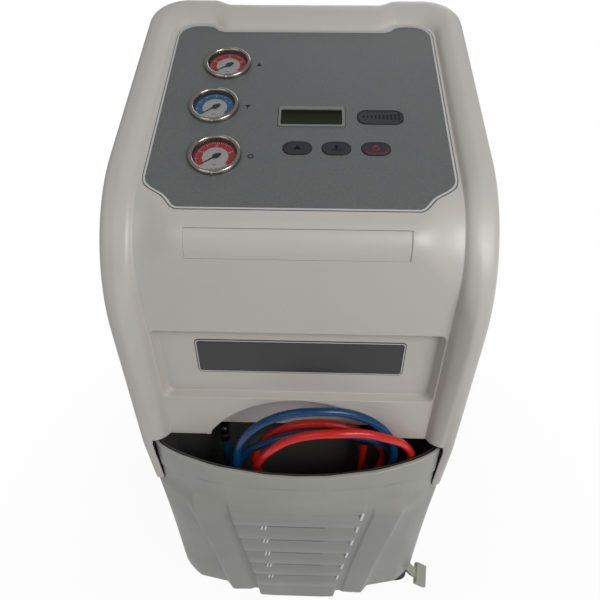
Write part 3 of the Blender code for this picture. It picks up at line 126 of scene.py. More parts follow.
def lead(spot, meet, depth, bend):
    """From the elbow's outlet straight down, round in a wide bend and along the pocket's floor."""
    x, z = spot
    way = math.copysign(1.0, meet - x)
    line = [Vector((x, 0.0, z - 0.0243)), Vector((x, 0.0, HOSE_LEVEL + bend))]
    for step in range(1, 13):
        angle = math.radians(90 * step / 12)
        along_x, drop = bend * (1 - math.cos(angle)), bend * (1 - math.sin(angle))
        line.append(Vector((x + way * along_x, 0.0, HOSE_LEVEL + drop)))
    if abs(meet - line[-1].x) > 0.010:
        line.append(Vector((meet, 0.0, HOSE_LEVEL)))
    line = spread(line, 0.013)[:-1]
    return [rel(point.x, mix(FITTING_FRONT, depth, ease((number / len(line) - 0.1) / 0.85)), point.z)
            for number, point in enumerate(line)]


BLUE_LANES = ((270, -0.045), (300, -0.044), (340, -0.028), (360, -0.0225), (385, -0.026), (410, -0.035),
              (450, -0.045), (540, -0.046), (565, -0.051), (590, -0.061), (660, -0.058), (700, -0.0485),
              (720, -0.044), (735, -0.046), (750, -0.049), (775, -0.053), (810, -0.062), (900, -0.062))
RED_LANES = ((270, -0.016), (180, -0.020), (90, -0.022), (35, -0.0205), (20, -0.016), (0, -0.007),
             (-30, -0.010), (-55, -0.029), (-90, -0.031), (-138, -0.032), (-175, -0.053), (-213, -0.075),
             (-270, -0.078), (-302, -0.068), (-330, -0.055), (-345, -0.048), (-360, -0.0445))
blue_route = lead(FITTING_SPOTS["blue"], 0.036, -0.045, 0.081)
for degrees in range(270, 901, 18):
    share = ease((degrees - 480) / 150)
    blue_route.append(loop_point(degrees, mix(0.036, 0.030, share), mix(-0.4665, -0.417, share),
                                 mix(0.133, 0.128, share), mix(0.104, 0.1255, share), BLUE_LANES))
blue_route += [rel(-0.104, -0.061, -0.455), rel(-0.110, -0.058, -0.495), rel(-0.116, -0.054, -0.5335)]
red_route = lead(FITTING_SPOTS["red"], 0.0375, -0.016, 0.064)
for degrees in range(270, -361, -18):
    share = ease((-120 - degrees) / 110)
    red_route.append(loop_point(degrees, mix(0.0375, 0.062, share), mix(-0.4665, -0.431, share),
                                mix(0.1125, 0.126, share), mix(0.102, 0.111, share), RED_LANES))
red_route += [rel(0.191, -0.0435, -0.465), rel(0.195, -0.0395, -0.500), rel(0.199, -0.035, -0.5336)]


class Wire:
    """One value in a finish. Python's operators on it add Math nodes."""

    def __init__(self, finish, socket):
        self.finish = finish
        self.socket = socket

    def maths(self, operation, *values):
        return self.finish.node("Math", {"operation": operation}, dict(enumerate(values)))

    def __add__(self, other):
        return self.maths("ADD", self, other)

    def __rsub__(self, other):
        return self.maths("SUBTRACT", other, self)

    def __mul__(self, other):
        return self.maths("MULTIPLY", self, other)

    def __abs__(self):
        return self.maths("ABSOLUTE", self)

    __radd__ = __add__
    __rmul__ = __mul__

    def rise(self, low, high):
        """0 under low, 1 over high, and smooth between them."""
        return self.finish.node("MapRange", {"interpolation_type": "SMOOTHSTEP"}, {0: self, 1: low, 2: high})


class Finish:
    """A Principled material, with its even values set on the shader and the rest wired in."""

    def __init__(self, name, colour, **values):
        self.material = bpy.data.materials.new(name)
        self.material.use_nodes = True
        self.tree = self.material.node_tree
        self.shader = self.tree.nodes["Principled BSDF"]
        self.colour = (*colour, 1.0)
        self.feed(Base_Color=self.colour, **values)
        self.place = self.node("TexCoord", out="Object")

    def node(self, kind, settings=(), inputs=(), out=0):
        made = self.tree.nodes.new("ShaderNode" + kind)
        for name, value in dict(settings).items():
            if name == "stops":
                for stop, (position, colour) in zip(made.color_ramp.elements, value):
                    stop.position, stop.color = position, colour
            else:
                setattr(made, name, value)
        for socket, value in dict(inputs).items():
            if isinstance(value, Wire):
                self.tree.links.new(value.socket, made.inputs[socket])
            else:
                made.inputs[socket].default_value = value
        return Wire(self, made.outputs[out])

    def feed(self, **values):
        for name, value in values.items():
            socket = self.shader.inputs[name.replace("_", " ")]
            if isinstance(value, Wire):
                self.tree.links.new(value.socket, socket)
            else:
                socket.default_value = value

    def noise(self, scale, detail=2.0, rough=0.5):
        return self.node("TexNoise", {}, {"Vector": self.place, "Scale": scale, "Detail": detail,
                                          "Roughness": rough})

    def blend(self, share, first, second):
        """A colour between two colours, by a value."""
        return self.node("Mix", {"data_type": "RGBA"}, {0: share, 6: first, 7: second}, out=2)

    def bumps(self, height, depth):
        self.feed(Normal=self.node("Bump", {}, {"Strength": 1.0, "Distance": depth, "Height": height}))
        return self

    def worn(self, rough, spread, patches, grain, depth):
        """Uneven gloss and a fine grain, each from a noise given as (scale, detail)."""
        self.feed(Roughness=rough + self.noise(*patches) * spread)
        return self.bumps(self.noise(*grain), depth)

    def on(self, *pieces):
        """Gives the finish to pieces, or to CAD nodes by name."""
        for piece in pieces:
            if isinstance(piece, str):
                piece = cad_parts[piece]
            if piece.material_slots:
                for slot in piece.material_slots:
                    slot.material = self.material
            else:
                piece.data.materials.append(self.material)
        return pieces[0]


def shade(colour, factor):
    return (colour[0] * factor, colour[1] * factor, colour[2] * factor, 1.0)


def hose_rubber(name, colour):
    """Extruded rubber cover: glossy, with faint lengthwise streaks and dust in patches."""
    rubber = Finish(name, colour, Specular_IOR_Level=0.35)
    patches = rubber.noise(38, 3).rise(0.42, 0.75)
    rubber.feed(Base_Color=rubber.blend(patches * 0.35, rubber.colour, shade(colour, 0.72)),
                Roughness=0.24 + patches * 0.16)
    return rubber.bumps(rubber.noise(900, 2), 0.00006)


def hose(name, route, colour):
    curve = bpy.data.curves.new(name, "CURVE")
    curve.dimensions = "3D"
    curve.bevel_depth = HOSE_RADIUS
    curve.bevel_resolution = 6
    curve.use_fill_caps = True
    points = spread(rounded_path(route), 0.007)
    line = curve.splines.new("POLY")
    line.points.add(len(points) - 1)
    for point, spot in zip(line.points, points):
        point.co = (*spot, 1.0)
    line.use_smooth = True
    piece = bpy.data.objects.new(name, curve)
    scene.collection.objects.link(piece)
    hose_rubber(name, colour).on(piece)
    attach(piece, "cabinet")
    return piece, points


HOSE_BLUE = (0.001, 0.042, 0.120)
HOSE_RED = (0.54, 0.014, 0.012)
blue_hose, blue_points = hose("charging_hose_blue", blue_route, HOSE_BLUE)
red_hose, red_points = hose("charging_hose_red", red_route, HOSE_RED)


def new_piece(name, mesh, body="cabinet", place=Matrix(), smooth=True):
    """A finished mesh as a piece of the station, riding on a body."""
    piece = bpy.data.objects.new(name, mesh)
    scene.collection.objects.link(piece)
    piece.matrix_world = place
    mesh.shade_smooth() if smooth else mesh.shade_flat()
    if body:
        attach(piece, body)
    return piece


def dressed(piece, finish, node=None):
    """Gives a piece its finish and slot, and lets it stand in for a CAD node."""
    finish.on(piece)
    if node:
        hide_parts(node)
    return piece


def facing(axis):
    return Vector(axis).to_track_quat("Z", "Y").to_matrix().to_4x4()


def turned(name, profile, place=Matrix(), steps=64, ring=False):
    """The mesh of a turned piece: a profile of (radius, height) that runs down its outer side."""
    mesh = bpy.data.meshes.new(name)
    edges = [(i, i + 1) for i in range(len(profile) - 1)]
    if ring:
        edges.append((len(profile) - 1, 0))
    mesh.from_pydata([(r, 0, h) for r, h in profile], edges, [])
    work = bmesh.new()
    work.from_mesh(mesh)
    bmesh.ops.spin(work, geom=work.verts[:] + work.edges[:], axis=(0, 0, 1), cent=(0, 0, 0), steps=steps,
                   angle=2 * math.pi)
    bmesh.ops.remove_doubles(work, verts=work.verts, dist=0.00002)
    bmesh.ops.recalc_face_normals(work, faces=work.faces)
    work.to_mesh(mesh)
    work.free()
    mesh.transform(place)
    return mesh


def rounded(profile, radius, arcs=3):
    """A profile with its inner corners rounded, for turned and drawn outlines."""
    result = [profile[0]]
    for before, corner, after in zip(profile, profile[1:], profile[2:]):
        a, b, c = Vector(before), Vector(corner), Vector(after)
        cut = min(radius, (a - b).length * 0.45, (c - b).length * 0.45)
        start, end = b + (a - b).normalized() * cut, b + (c - b).normalized() * cut
        for step in range(arcs + 1):
            t = step / arcs
            result.append(tuple(start * (1 - t) ** 2 + b * 2 * t * (1 - t) + end * t * t))
    result.append(profile[-1])
    return result


COUPLER = rounded([(0.0, 0.0400), (0.0080, 0.0400), (0.0100, 0.0380), (0.0100, 0.0330), (0.0092, 0.0325),
                   (0.0092, 0.0300), (0.0100, 0.0295), (0.0100, 0.0240), (0.0125, 0.0225), (0.0125, 0.0090),
                   (0.0080, 0.0070), (0.0080, 0.0), (0.0, 0.0)], 0.0008, 2)
for name, piece, points, colour, length in (("blue", blue_hose, blue_points, HOSE_BLUE, 1.75),
                                            ("red", red_hose, red_points, HOSE_RED, 1.56)):
    ahead = (points[-1] - points[-2]).normalized()
    place = Matrix.Translation(points[-1] + ahead * 0.0003) @ facing(ahead)
    coupler = new_piece(f"quick_coupler_{name}", turned("coupler", COUPLER, steps=48), place=place)
    anodised = Finish(f"anodised_{name}", colour, Metallic=0.7, Roughness=0.3)
    anodised.bumps(anodised.noise(700, 1), 0.00004)
    dressed(coupler, anodised, f"coupler_{name}")
    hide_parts(f"hose_{name}")
blackened = Finish("blackened_fitting", (0.045, 0.043, 0.040), Metallic=1.0)
blackened.worn(0.34, 0.2, (60, 3), (400, 2), 0.00004).on("hose_fitting_blue", "hose_fitting_red")

# Front shell.
# One rotation moulding of warm grey plastic with a fine grain: the console's rim, the thick side rails, and
# the upper front with its plate recess and the arch over the hose pocket. It is screwed to the frame behind.
TILT = math.radians(25)
HALF_BODY = 0.250
WALL = 0.0035


def at(u, v, w):
    """A point of the console: across, up its slope from the overlay's lower edge, and out from it."""
    return Vector((u, SILL_Y + v * math.cos(TILT) - w * math.sin(TILT),
                   SILL_Z + v * math.sin(TILT) + w * math.cos(TILT)))


def on_console(u, v, w=0.0):
    return Matrix.Translation(at(u, v, w)) @ Matrix.Rotation(TILT, 4, "X")


def curve_through(rows, per):
    """Rows of numbers, with per steps of a smooth curve between each two."""
    rows = [Vector(row) for row in rows]
    return [tuple(point) for point in rounded_path(rows, per)]


CENTRE = [(x, 0.0, -0.037, mix(0.040, 0.127, ease((x - 0.140) / 0.067)))
          for x in [0.0, 0.070] + [0.140 + 0.065 * step / 9 for step in range(9)]]
RAIL = curve_through(((0.205, 0.0, -0.037, 0.127), (0.211, 0.0066, -0.047, 0.155),
                      (0.221, 0.011, -0.056, 0.190), (0.230, 0.012, -0.060, 0.210),
                      (0.2435, 0.0095, -0.056, 0.210), (0.250, 0.001, -0.045, 0.210)), 5)
SKIRT = 0.070
ARC_ANGLES = [25 + 65 * step / 20 for step in range(21)]
UPRIGHT_ROWS = [-0.205 - 0.173 * step / 10 for step in range(11)]
STRIP_ROWS = [-0.391 - 0.098 * step / 6 for step in range(7)]
SLOPE_ROWS = (0.095, 0.155, 0.220, 0.280, 0.335)
CORNER_ANGLES = [90 * step / 16 for step in range(17)]
REAR_ROWS = [0.150 - 0.034 * step / 12 for step in range(13)] + [0.0]


def bend_point(x, lift, front, radius, degrees):
    angle = math.radians(degrees)
    slope = (front + radius + (lift - radius) * math.sin(TILT)) / math.cos(TILT)
    centre = slope * math.sin(TILT) + (lift - radius) * math.cos(TILT)
    return rel(x, front + radius - radius * math.sin(angle), centre + radius * math.cos(angle))


def lean(x, z):
    """How far the upper front's rails lean back near their lower end."""
    crest = 0.031 * max(0.0, -0.205 - z) + 0.069 * max(0.0, -0.365 - z)
    edge = 0.115 * max(0.0, -0.385 - z)
    if x < 0.2055:
        return 0.0
    if x < 0.2325:
        return crest * (x - 0.205) / 0.025
    return mix(crest, edge, min(1.0, (x - 0.230) / 0.013))


def corner_data(x):
    """Where a rail column turns round the console's rear corner: centre, radius, rear line and its dip."""
    if x <= 0.230:
        share = (x - 0.205) / 0.025
        return mix(0.173, 0.188, share), mix(0.352, 0.382, share), mix(0.384, 0.424, share), mix(0.015,
                                                                                                 0.012,
                                                                                                 share)
    share = (x - 0.230) / 0.020
    return mix(0.188, 0.192, share), mix(0.382, 0.378, share), mix(0.424, 0.436, share), 0.012


def front_column(x, lift, front, radius):
    points = [rel(x, front + lean(x, z), z) for z in reversed(UPRIGHT_ROWS)]
    return points + [bend_point(x, lift, front, radius, a) for a in reversed(ARC_ANGLES)]


def shell_mesh():
    centre = [front_column(*column) + [at(column[0], SLOPE_ROWS[0], column[1])] for column in CENTRE]
    rails = []
    for x, lift, front, radius in RAIL:
        points = front_column(x, lift, front, radius) + [at(x, v, lift) for v in SLOPE_ROWS]
        cx, cv, rear, dip = corner_data(x)
        for degrees in CORNER_ANGLES:
            angle = math.radians(degrees)
            points.append(at(cx + (x - cx) * math.cos(angle), cv + (rear - cv) * math.sin(angle), lift))
        points += [at(across, rear - dip * ease((0.148 - across) / 0.030), lift) for across in REAR_ROWS]
        rails.append(points)
    x, lift, front, radius = RAIL[-1]
    skirt = [rel(x, front + SKIRT + lean(x, z), z) for z in reversed(UPRIGHT_ROWS)]
    skirt += [bend_point(x, lift - SKIRT, front + SKIRT, radius - SKIRT, a) for a in reversed(ARC_ANGLES)]
    for number, point in enumerate(rails[-1][len(skirt):]):
        share = ease((number - len(SLOPE_ROWS)) / (len(CORNER_ANGLES) - 1))
        inward = Vector((0, math.sin(TILT), -math.cos(TILT)))
        skirt.append(point + SKIRT * inward.lerp(Vector((0, 0, -1)), share).normalized())
    rails.append(skirt)
    points = []
    faces = []

    def put(column):
        points.extend(column)
        return list(range(len(points) - len(column), len(points)))

    def join(columns):
        for left, right in zip(columns, columns[1:]):
            for row in range(min(len(left), len(right)) - 1):
                faces.append((left[row], right[row], right[row + 1], left[row + 1]))

    centre_ids = [put(column) for column in centre]
    rail_ids = [put(column) for column in rails]
    join(centre_ids + [rail_ids[0][:len(centre_ids[0])]])
    join(rail_ids)
    top = len(centre_ids[0]) - 1
    faces.append(tuple([ids[top] for ids in centre_ids] + rail_ids[0][top:]))
    first = next(i for i, column in enumerate(RAIL) if column[0] > 0.2299)
    strip = [(max(x, 0.232), front) for x, lift, front, radius in RAIL[first:]]
    strip.append((HALF_BODY, RAIL[-1][2] + SKIRT))
    ids = []
    for number, (x, front) in enumerate(strip):
        ids.append(put([rel(x, front + (lean(x, z) if number < len(strip) - 1 else lean(HALF_BODY, z)), z)
                        for z in reversed(STRIP_ROWS)]) + [rail_ids[first + number][0]])
    join(ids)
    mesh = bpy.data.meshes.new("shell_skin")
    mesh.from_pydata([tuple(point) for point in points], [], faces)
    return mesh


def closed_mesh(name, points, faces):
    """A mesh whose faces all look outwards."""
    mesh = bpy.data.meshes.new(name)
    mesh.from_pydata([tuple(point) for point in points], [], faces)
    work = bmesh.new()
    work.from_mesh(mesh)
    bmesh.ops.recalc_face_normals(work, faces=work.faces)
    work.to_mesh(mesh)
    work.free()
    return mesh


def prism(outline, low, high, place=Matrix()):
    """A closed solid: an outline between two heights along local Z."""
    return stack([(outline, low), (outline, high)], place)


def stack(layers, place=Matrix()):
    """A closed solid through layers of (outline, height), whose outlines have the same number of points."""
    count = len(layers[0][0])
    points = [place @ Vector((x, y, height)) for outline, height in layers for x, y in outline]
    faces = [tuple(range(count - 1, -1, -1))]
    for low in range(0, (len(layers) - 1) * count, count):
        for i in range(count):
            j = (i + 1) % count
            faces.append((low + i, low + j, low + count + j, low + count + i))
    faces.append(tuple(range((len(layers) - 1) * count, len(layers) * count)))
    return closed_mesh("stack", points, faces)


def oblong(x0, x1, y0, y1, radius, arcs=8):
    points = []
    corners = ((x1 - radius, y1 - radius, 0), (x0 + radius, y1 - radius, 90),
               (x0 + radius, y0 + radius, 180), (x1 - radius, y0 + radius, 270))
    for cx, cy, start in corners:
        for step in range(arcs + 1):
            angle = math.radians(start + 90 * step / arcs)
            points.append((cx + radius * math.cos(angle), cy + radius * math.sin(angle)))
    return points


def circle(radius, count=64, cx=0.0, cy=0.0):
    turn = 2 * math.pi / count
    return [(cx + radius * math.cos(turn * i), cy + radius * math.sin(turn * i)) for i in range(count)]


def carve(piece, steps, edge=0.0, segments=3, angle=30):
    """Joins and cuts a piece with closed meshes in turn, rounds its edges, and leaves one plain mesh."""
    tools = []
    for number, (operation, mesh) in enumerate(steps):
        tool = bpy.data.objects.new(f"tool_{number}", mesh)
        scene.collection.objects.link(tool)
        tools.append(tool)
        step = piece.modifiers.new(f"step_{number}", "BOOLEAN")
        step.operation, step.solver, step.object = operation, "EXACT", tool
    if edge:
        bevel = piece.modifiers.new("edges", "BEVEL")
        bevel.width, bevel.segments, bevel.limit_method = edge, segments, "ANGLE"
        bevel.angle_limit = math.radians(angle)
        bevel.use_clamp_overlap = False
        bevel.harden_normals = True
    graph = bpy.context.evaluated_depsgraph_get()
    mesh = bpy.data.meshes.new_from_object(piece.evaluated_get(graph))
    piece.modifiers.clear()
    piece.data = mesh
    for tool in tools:
        bpy.data.objects.remove(tool)
    return piece


OVERLAY_EDGE = ((0.151, 0.0), (0.159, 0.005), (0.171, 0.020), (0.187, 0.031), (0.197, 0.040), (0.201, 0.052))


def overlay_outline(grow):
    """The overlay's outline, moved outwards by grow, with its corners drawn out as curves."""
    line = [(x + grow * 0.9, v - grow * 0.6) for x, v in OVERLAY_EDGE]
    line[0] = (0.151 + grow * 0.4, -grow)
    line[-1] = (0.201 + grow, 0.052)
    right = [(point[0], point[1]) for point in rounded_path([Vector((*p, 0)) for p in line], 4)]
    for step in range(13):
        angle = math.radians(90 * step / 12)
        right.append((0.169 + (0.032 + grow) * math.cos(angle), 0.348 + (0.032 + grow) * math.sin(angle)))
    rear = [(0.155 - grow * 0.3, 0.380 + grow), (0.144, 0.3765 + grow), (0.136, 0.3685 + grow),
            (0.126, 0.365 + grow)]
    right += [(point[0], point[1]) for point in rounded_path([Vector((*p, 0)) for p in rear], 4)]
    return right + [(-x, v) for x, v in reversed(right)]


GAUGES = {"upper": (-0.1131, 0.2801), "middle": (-0.1232, 0.1864), "lower": (-0.1118, 0.0899)}
KEYS = {"left": (-0.004, 0.106), "middle": (0.048, 0.106), "right": (0.1005, 0.106)}


def panel_openings(grow, low, high):
    """Cutters for the gauges, the display, the level window and the keys."""
    tools = [prism(circle(0.0315 + grow), low, high, on_console(u, v)) for u, v in GAUGES.values()]
    tools.append(prism(oblong(-0.032 - grow, 0.0605 + grow, 0.147 - grow, 0.187 + grow, 0.003, 4), low, high,
                       on_console(0, 0)))
    tools.append(prism(oblong(0.078 - grow, 0.141 + grow, 0.153 - grow, 0.181 + grow, 0.0125), low, high,
                       on_console(0, 0)))
    for u, v in KEYS.values():
        line = oblong(-0.019 - grow, 0.019 + grow, -0.012 - grow, 0.012 + grow, 0.0118 + grow)
        tools.append(prism(line, low, high, on_console(u, v)))
    return tools


across_x = Matrix(((0, 0, 1, 0), (1, 0, 0, 0), (0, 1, 0, 0), (0, 0, 0, 1)))
upright_plane = Matrix(((1, 0, 0, 0), (0, 0, -1, SILL_Y), (0, 1, 0, SILL_Z), (0, 0, 0, 1)))
BAY_FLOOR = -0.022
ARCH_DEPTH = -0.012


def bay_outline(narrow, grow=0.0):
    """The plate bay's outline in X and Z, narrowed for its floor and grown for the wall behind it."""
    half = 0.203 - narrow + grow
    return oblong(-half, half, -0.2935 + narrow * 0.25 - grow, -0.165 - narrow * 0.6 + grow, 0.009 + grow)


def arch(radius):
    """The arch over the pocket's mouth, from foot to foot."""
    half = math.acos((-0.378 + 0.462) / radius)
    angles = [math.pi / 2 - half + 2 * half * step / 48 for step in range(1, 48)]
    return [(radius * math.cos(angle), -0.462 + radius * math.sin(angle)) for angle in angles]


strip_line = []
for step in range(25):
    point = bend_point(0.0, 0.0, -0.037, 0.040, 30 + 60 * step / 24)
    centre = bend_point(0.0, 0.0, -0.037, 0.0400001, 90) + Vector((0, 0.040, 0))
    spot = centre + (point - centre) * (1 - 0.0012 / 0.040)
    if spot.z < SILL_Z - 0.0135:
        strip_line.append((spot.y, spot.z))
strip_line.append((strip_line[-1][0], SILL_Z - 0.049))
strip_room = [(SILL_Y - 0.060, SILL_Z - 0.0135), (strip_line[0][0] + 0.0004, SILL_Z - 0.0135)] + strip_line
strip_room.append((SILL_Y - 0.060, SILL_Z - 0.049))

shell = new_piece("shell_skin", shell_mesh())
for kind, values in (("MIRROR", {"merge_threshold": 0.00005, "use_clip": True}),
                     ("SOLIDIFY", {"thickness": WALL, "offset": -1.0, "use_even_offset": True})):
    step = shell.modifiers.new(kind.lower(), kind)
    for name, value in values.items():
        setattr(step, name, value)
bay_walls = [(bay_outline(0.006, WALL), -BAY_FLOOR - WALL), (bay_outline(0, WALL), 0.0365)]
bay_room = [(bay_outline(0.006), -BAY_FLOOR), (bay_outline(0), 0.037), (bay_outline(0), 0.080)]
arch_walls = arch(0.165 + WALL) + [(-0.1445, -0.378), (0.1445, -0.378)]
arch_room = arch(0.165) + [(-0.142, -0.400), (0.142, -0.400)]
steps = [("UNION", stack(bay_walls, upright_plane)),
         ("UNION", prism(arch_walls, -ARCH_DEPTH - WALL, 0.0365, upright_plane)),
         ("DIFFERENCE", stack(bay_room, upright_plane)),
         ("DIFFERENCE", prism(arch_room, -ARCH_DEPTH, 0.080, upright_plane)),
         ("DIFFERENCE", prism(strip_room, -0.138, 0.138, across_x)),
         ("DIFFERENCE", prism(overlay_outline(0.0006), -0.0015, 0.020, on_console(0, 0)))]
steps += [("DIFFERENCE", tool) for tool in panel_openings(0.0004, -0.012, 0.020)]
carve(shell, steps, 0.0010, 2, 35)


def moulded(name, colour, rough=0.36, grain=0.00010):
    """Moulded plastic: a fine grain, soft gloss, and dust that dulls it in large faint patches."""
    plastic = Finish(name, colour, Specular_IOR_Level=0.5)
    dust = plastic.noise(9, 4, 0.6).rise(0.40, 0.80)
    fine = plastic.node("TexVoronoi", {"feature": "SMOOTH_F1"}, {"Vector": plastic.place, "Scale": 620.0})
    plastic.feed(Base_Color=plastic.blend(dust * 0.16, plastic.colour, shade(colour, 0.86)),
                 Roughness=rough + dust * 0.10)
    return plastic.bumps(fine + plastic.noise(240, 2) * 0.6, grain)


SHELL_GREY = (0.465, 0.437, 0.408)
dressed(shell, moulded("shell_plastic", SHELL_GREY), "front_shell")

# Lower cover.
# A second moulding, screwed under the shell: the pocket's lip, slanting bands beside two grooves, and a
# middle block of shingled slats with narrow slots. Its side edges wrap round to the side sheets.
SLATS = (-0.5470, -0.5930, -0.6390, -0.6850, -0.7310)
COVER_HALF = HALF_BODY - 0.003
LIP_HALF = HALF_BODY - 0.0188


def along(z, spots):
    """A value read between (height, value) pairs, from top to bottom."""
    if z >= spots[0][0]:
        return spots[0][1]
    for (z0, a), (z1, b) in zip(spots, spots[1:]):
        if z >= z1:
            return mix(a, b, (z0 - z) / (z0 - z1))
    return spots[-1][1]


def louvre_edge(z):
    return along(z, ((-0.391, 0.118), (-0.508, 0.113), (-0.735, 0.0820), (-0.825, 0.0750)))


def slat_depth(z):
    """How far a slat stands back from the block's face at its top, and swells out in its middle."""
    edges = (-0.5085,) + SLATS + (-0.7760,)
    for high, low in zip(edges, edges[1:]):
        if low < z <= high:
            t = (high - z) / (high - low)
            return 0.0042 * (1 - t) ** 2 - 0.0030 * math.sin(math.pi * t)
    return 0.0


def cover_profile(z):
    """One level of the lower cover: (x, depth) from the middle to the end of its side wrap."""
    half = COVER_HALF if z < -0.4915 else LIP_HALF
    louvre = louvre_edge(z)
    groove = along(z, ((-0.391, 0.136), (-0.515, 0.1275), (-0.682, 0.1040), (-0.825, 0.0895)))
    ridge = along(z, ((-0.391, 0.185), (-0.520, 0.176), (-0.610, 0.163), (-0.700, 0.150), (-0.825, 0.1335)))
    foot = ridge + along(z, ((-0.505, 0.010), (-0.825, 0.0125)))
    bulge = along(z, ((-0.391, 0.0), (-0.430, -0.004), (-0.462, -0.002), (-0.505, 0.003)))
    xs = (0.0, 0.048, louvre, louvre + 0.004, groove, groove + 0.004, ridge - 0.004, ridge, foot,
          HALF_BODY - 0.046, HALF_BODY - 0.032, LIP_HALF)
    upper = [-0.043 - 0.057 * max(0.0, 1 - (x / 0.232) ** 2) ** 0.7 + bulge * (1 - x / 0.232) for x in xs]
    block, floor_y, band, foot_y, *outer = [
        along(z, ((-0.505, a), (-0.825, b))) for a, b in
        ((-0.0965, -0.087), (-0.086, -0.0735), (-0.0905, -0.0770), (-0.0745, -0.0620),
         (-0.0640, -0.0510), (-0.0560, -0.0420), (-0.0470, -0.0310))]
    lower = [block, block, block + 0.001, floor_y, floor_y, band + 0.001, band, band + 0.0015, foot_y] + outer
    share = ease((-0.484 - z) / 0.038)
    depths = [mix(a, b, share) for a, b in zip(upper, lower)]
    for i in range(3):
        depths[i] += slat_depth(z)
    corner = along(z, ((-0.491, -0.033), (-0.588, -0.021), (-0.660, -0.014), (-0.738, -0.010),
                       (-0.825, -0.006)))
    if half == LIP_HALF:
        side = [(LIP_HALF + 0.0004, y) for y in (-0.036, -0.028, -0.018, 0.004)]
    else:
        side = [(half - 0.0065, mix(depths[-1], corner, 0.42)), (half - 0.0015,
                                                                 mix(depths[-1], corner, 0.78)),
                (half, corner + 0.008), (half, 0.040)]
    return list(zip(xs, depths)) + side


def cover_mesh():
    levels = []
    for high, low, count in ((-0.391, -0.484, 40), (-0.484, -0.4910, 2), (-0.4920, -0.5070, 4),
                             (-0.5085, -0.5455, 8), (-0.5470, -0.5915, 9), (-0.5930, -0.6375, 9),
                             (-0.6390, -0.6835, 9), (-0.6850, -0.7295, 9), (-0.7310, -0.7620, 7),
                             (-0.7650, -0.8250, 12)):
        levels += [mix(high, low, step / count) for step in range(count + 1)]
    rows = []
    for z in sorted(set(levels), reverse=True):
        right_side = cover_profile(z)
        line = rounded([(-x, y) for x, y in reversed(right_side[1:])] + right_side, 0.0035, 3)
        rise = 0.006 * along(z, ((-0.800, 0.0), (-0.825, 1.0)))
        dip = 0.0135 * along(z, ((-0.391, 1.0), (-0.484, 0.0)))
        row = []
        for x, y in line:
            bow = max(0.0, 1 - (x / 0.232) ** 2)
            level = z + rise * ease((abs(x) - 0.198) / 0.049) - dip * bow
            under = ease((-0.447 + 0.0205 * bow - level) / 0.006) * ease((level + 0.505) / 0.030)
            row.append(rel(x, y + 0.0032 * under, level))
        rows.append(row)
    for step in range(1, 5):
        angle = math.radians(90 * step / 4)
        shift = Vector((0, 0.006 * (1 - math.cos(angle)), 0.002 * math.sin(angle)))
        rows.insert(0, [point + shift for point in rows[step - 1]])
    across = len(rows[0])
    faces = [(r * across + c, (r + 1) * across + c, (r + 1) * across + c + 1, r * across + c + 1)
             for r in range(len(rows) - 1) for c in range(across - 1)]
    mesh = bpy.data.meshes.new("cover_skin")
    mesh.from_pydata([tuple(point) for row in rows for point in row], [], faces)
    return mesh


def box_mesh(low, high):
    (x0, y0, z0), (x1, y1, z1) = low, high
    return prism([(x0, y0), (x1, y0), (x1, y1), (x0, y1)], z0, z1)


def joined(name, meshes):
    """One mesh out of several closed ones."""
    work = bmesh.new()
    for mesh in meshes:
        work.from_mesh(mesh)
    result = bpy.data.meshes.new(name)
    work.to_mesh(result)
    work.free()
    return result


cover = new_piece("lower_cover_skin", cover_mesh())
step = cover.modifiers.new("wall", "SOLIDIFY")
step.thickness, step.offset = 0.0033, -1.0
slots = []
for number, z in enumerate(SLATS):
    half = 0.050 - 0.0016 * number
    slots.append(("DIFFERENCE", prism(oblong(-half, half, -0.0062 + z, -0.0012 + z, 0.0024, 4), 0.060, 0.130,
                                      upright_plane)))
carve(cover, slots, 0.0006, 2, 40)
# The cover is the shell's grey plastic. Its colour is set darker than the shell's as painted shade of its
# lower, tilted front.
COVER_GREY_WITH_PAINTED_SHADE = (0.300, 0.298, 0.270)
cover_plastic = moulded("cover_plastic", COVER_GREY_WITH_PAINTED_SHADE, 0.40)
# Painted shade: the cover's colour darkens towards its bottom, where less light falls, and a noise varies
# that shade a little.
low_painted_shade = 1 - cover_plastic.node("SeparateXYZ", {}, {0: cover_plastic.place}, out=2).rise(0.33, 0.45)
low_painted_shade = low_painted_shade * (0.85 + cover_plastic.noise(9, 4, 0.6) * 0.3)
cover_plastic.feed(Base_Color=cover_plastic.blend(low_painted_shade, cover_plastic.colour, shade(COVER_GREY_WITH_PAINTED_SHADE, 0.79)))
dressed(cover, cover_plastic, "lower_cover")


def cover_front(x, z):
    """The cover's depth at a spot, read from its profile."""
    line = cover_profile(z)
    for (x0, y0), (x1, y1) in zip(line, line[1:]):
        if x0 <= abs(x) <= x1:
            return mix(y0, y1, (abs(x) - x0) / max(x1 - x0, 1e-6))
    return line[-1][1]


ribs = []
for number, z in enumerate(SLATS):
    half = 0.050 - 0.0016 * number
    for gap in (0.0048, 0.0108):
        x, z0, z1 = -(half + gap), z - 0.0130, z + 0.0060
        y = cover_front(x, z - 0.004)
        line = [(x - 0.0016, z0), (x + 0.0016, z0), (x + 0.0052, z1), (x + 0.0020, z1)]
        ribs.append(prism(line, -y - 0.0020, -y + 0.0032, upright_plane))
for z in (-0.5085,) + SLATS:
    x = louvre_edge(z) - 0.0030
    y = cover_front(x, z - 0.006)
    line = [(x - 0.0036, z - 0.0120), (x + 0.0010, z - 0.0120), (x + 0.0036, z + 0.0050),
            (x - 0.0010, z + 0.0050)]
    ribs.append(prism(line, -y - 0.0020, -y + 0.0034, upright_plane))
rib_piece = carve(new_piece("cover_ribs", joined("cover_ribs", ribs)), [], 0.0012, 3)
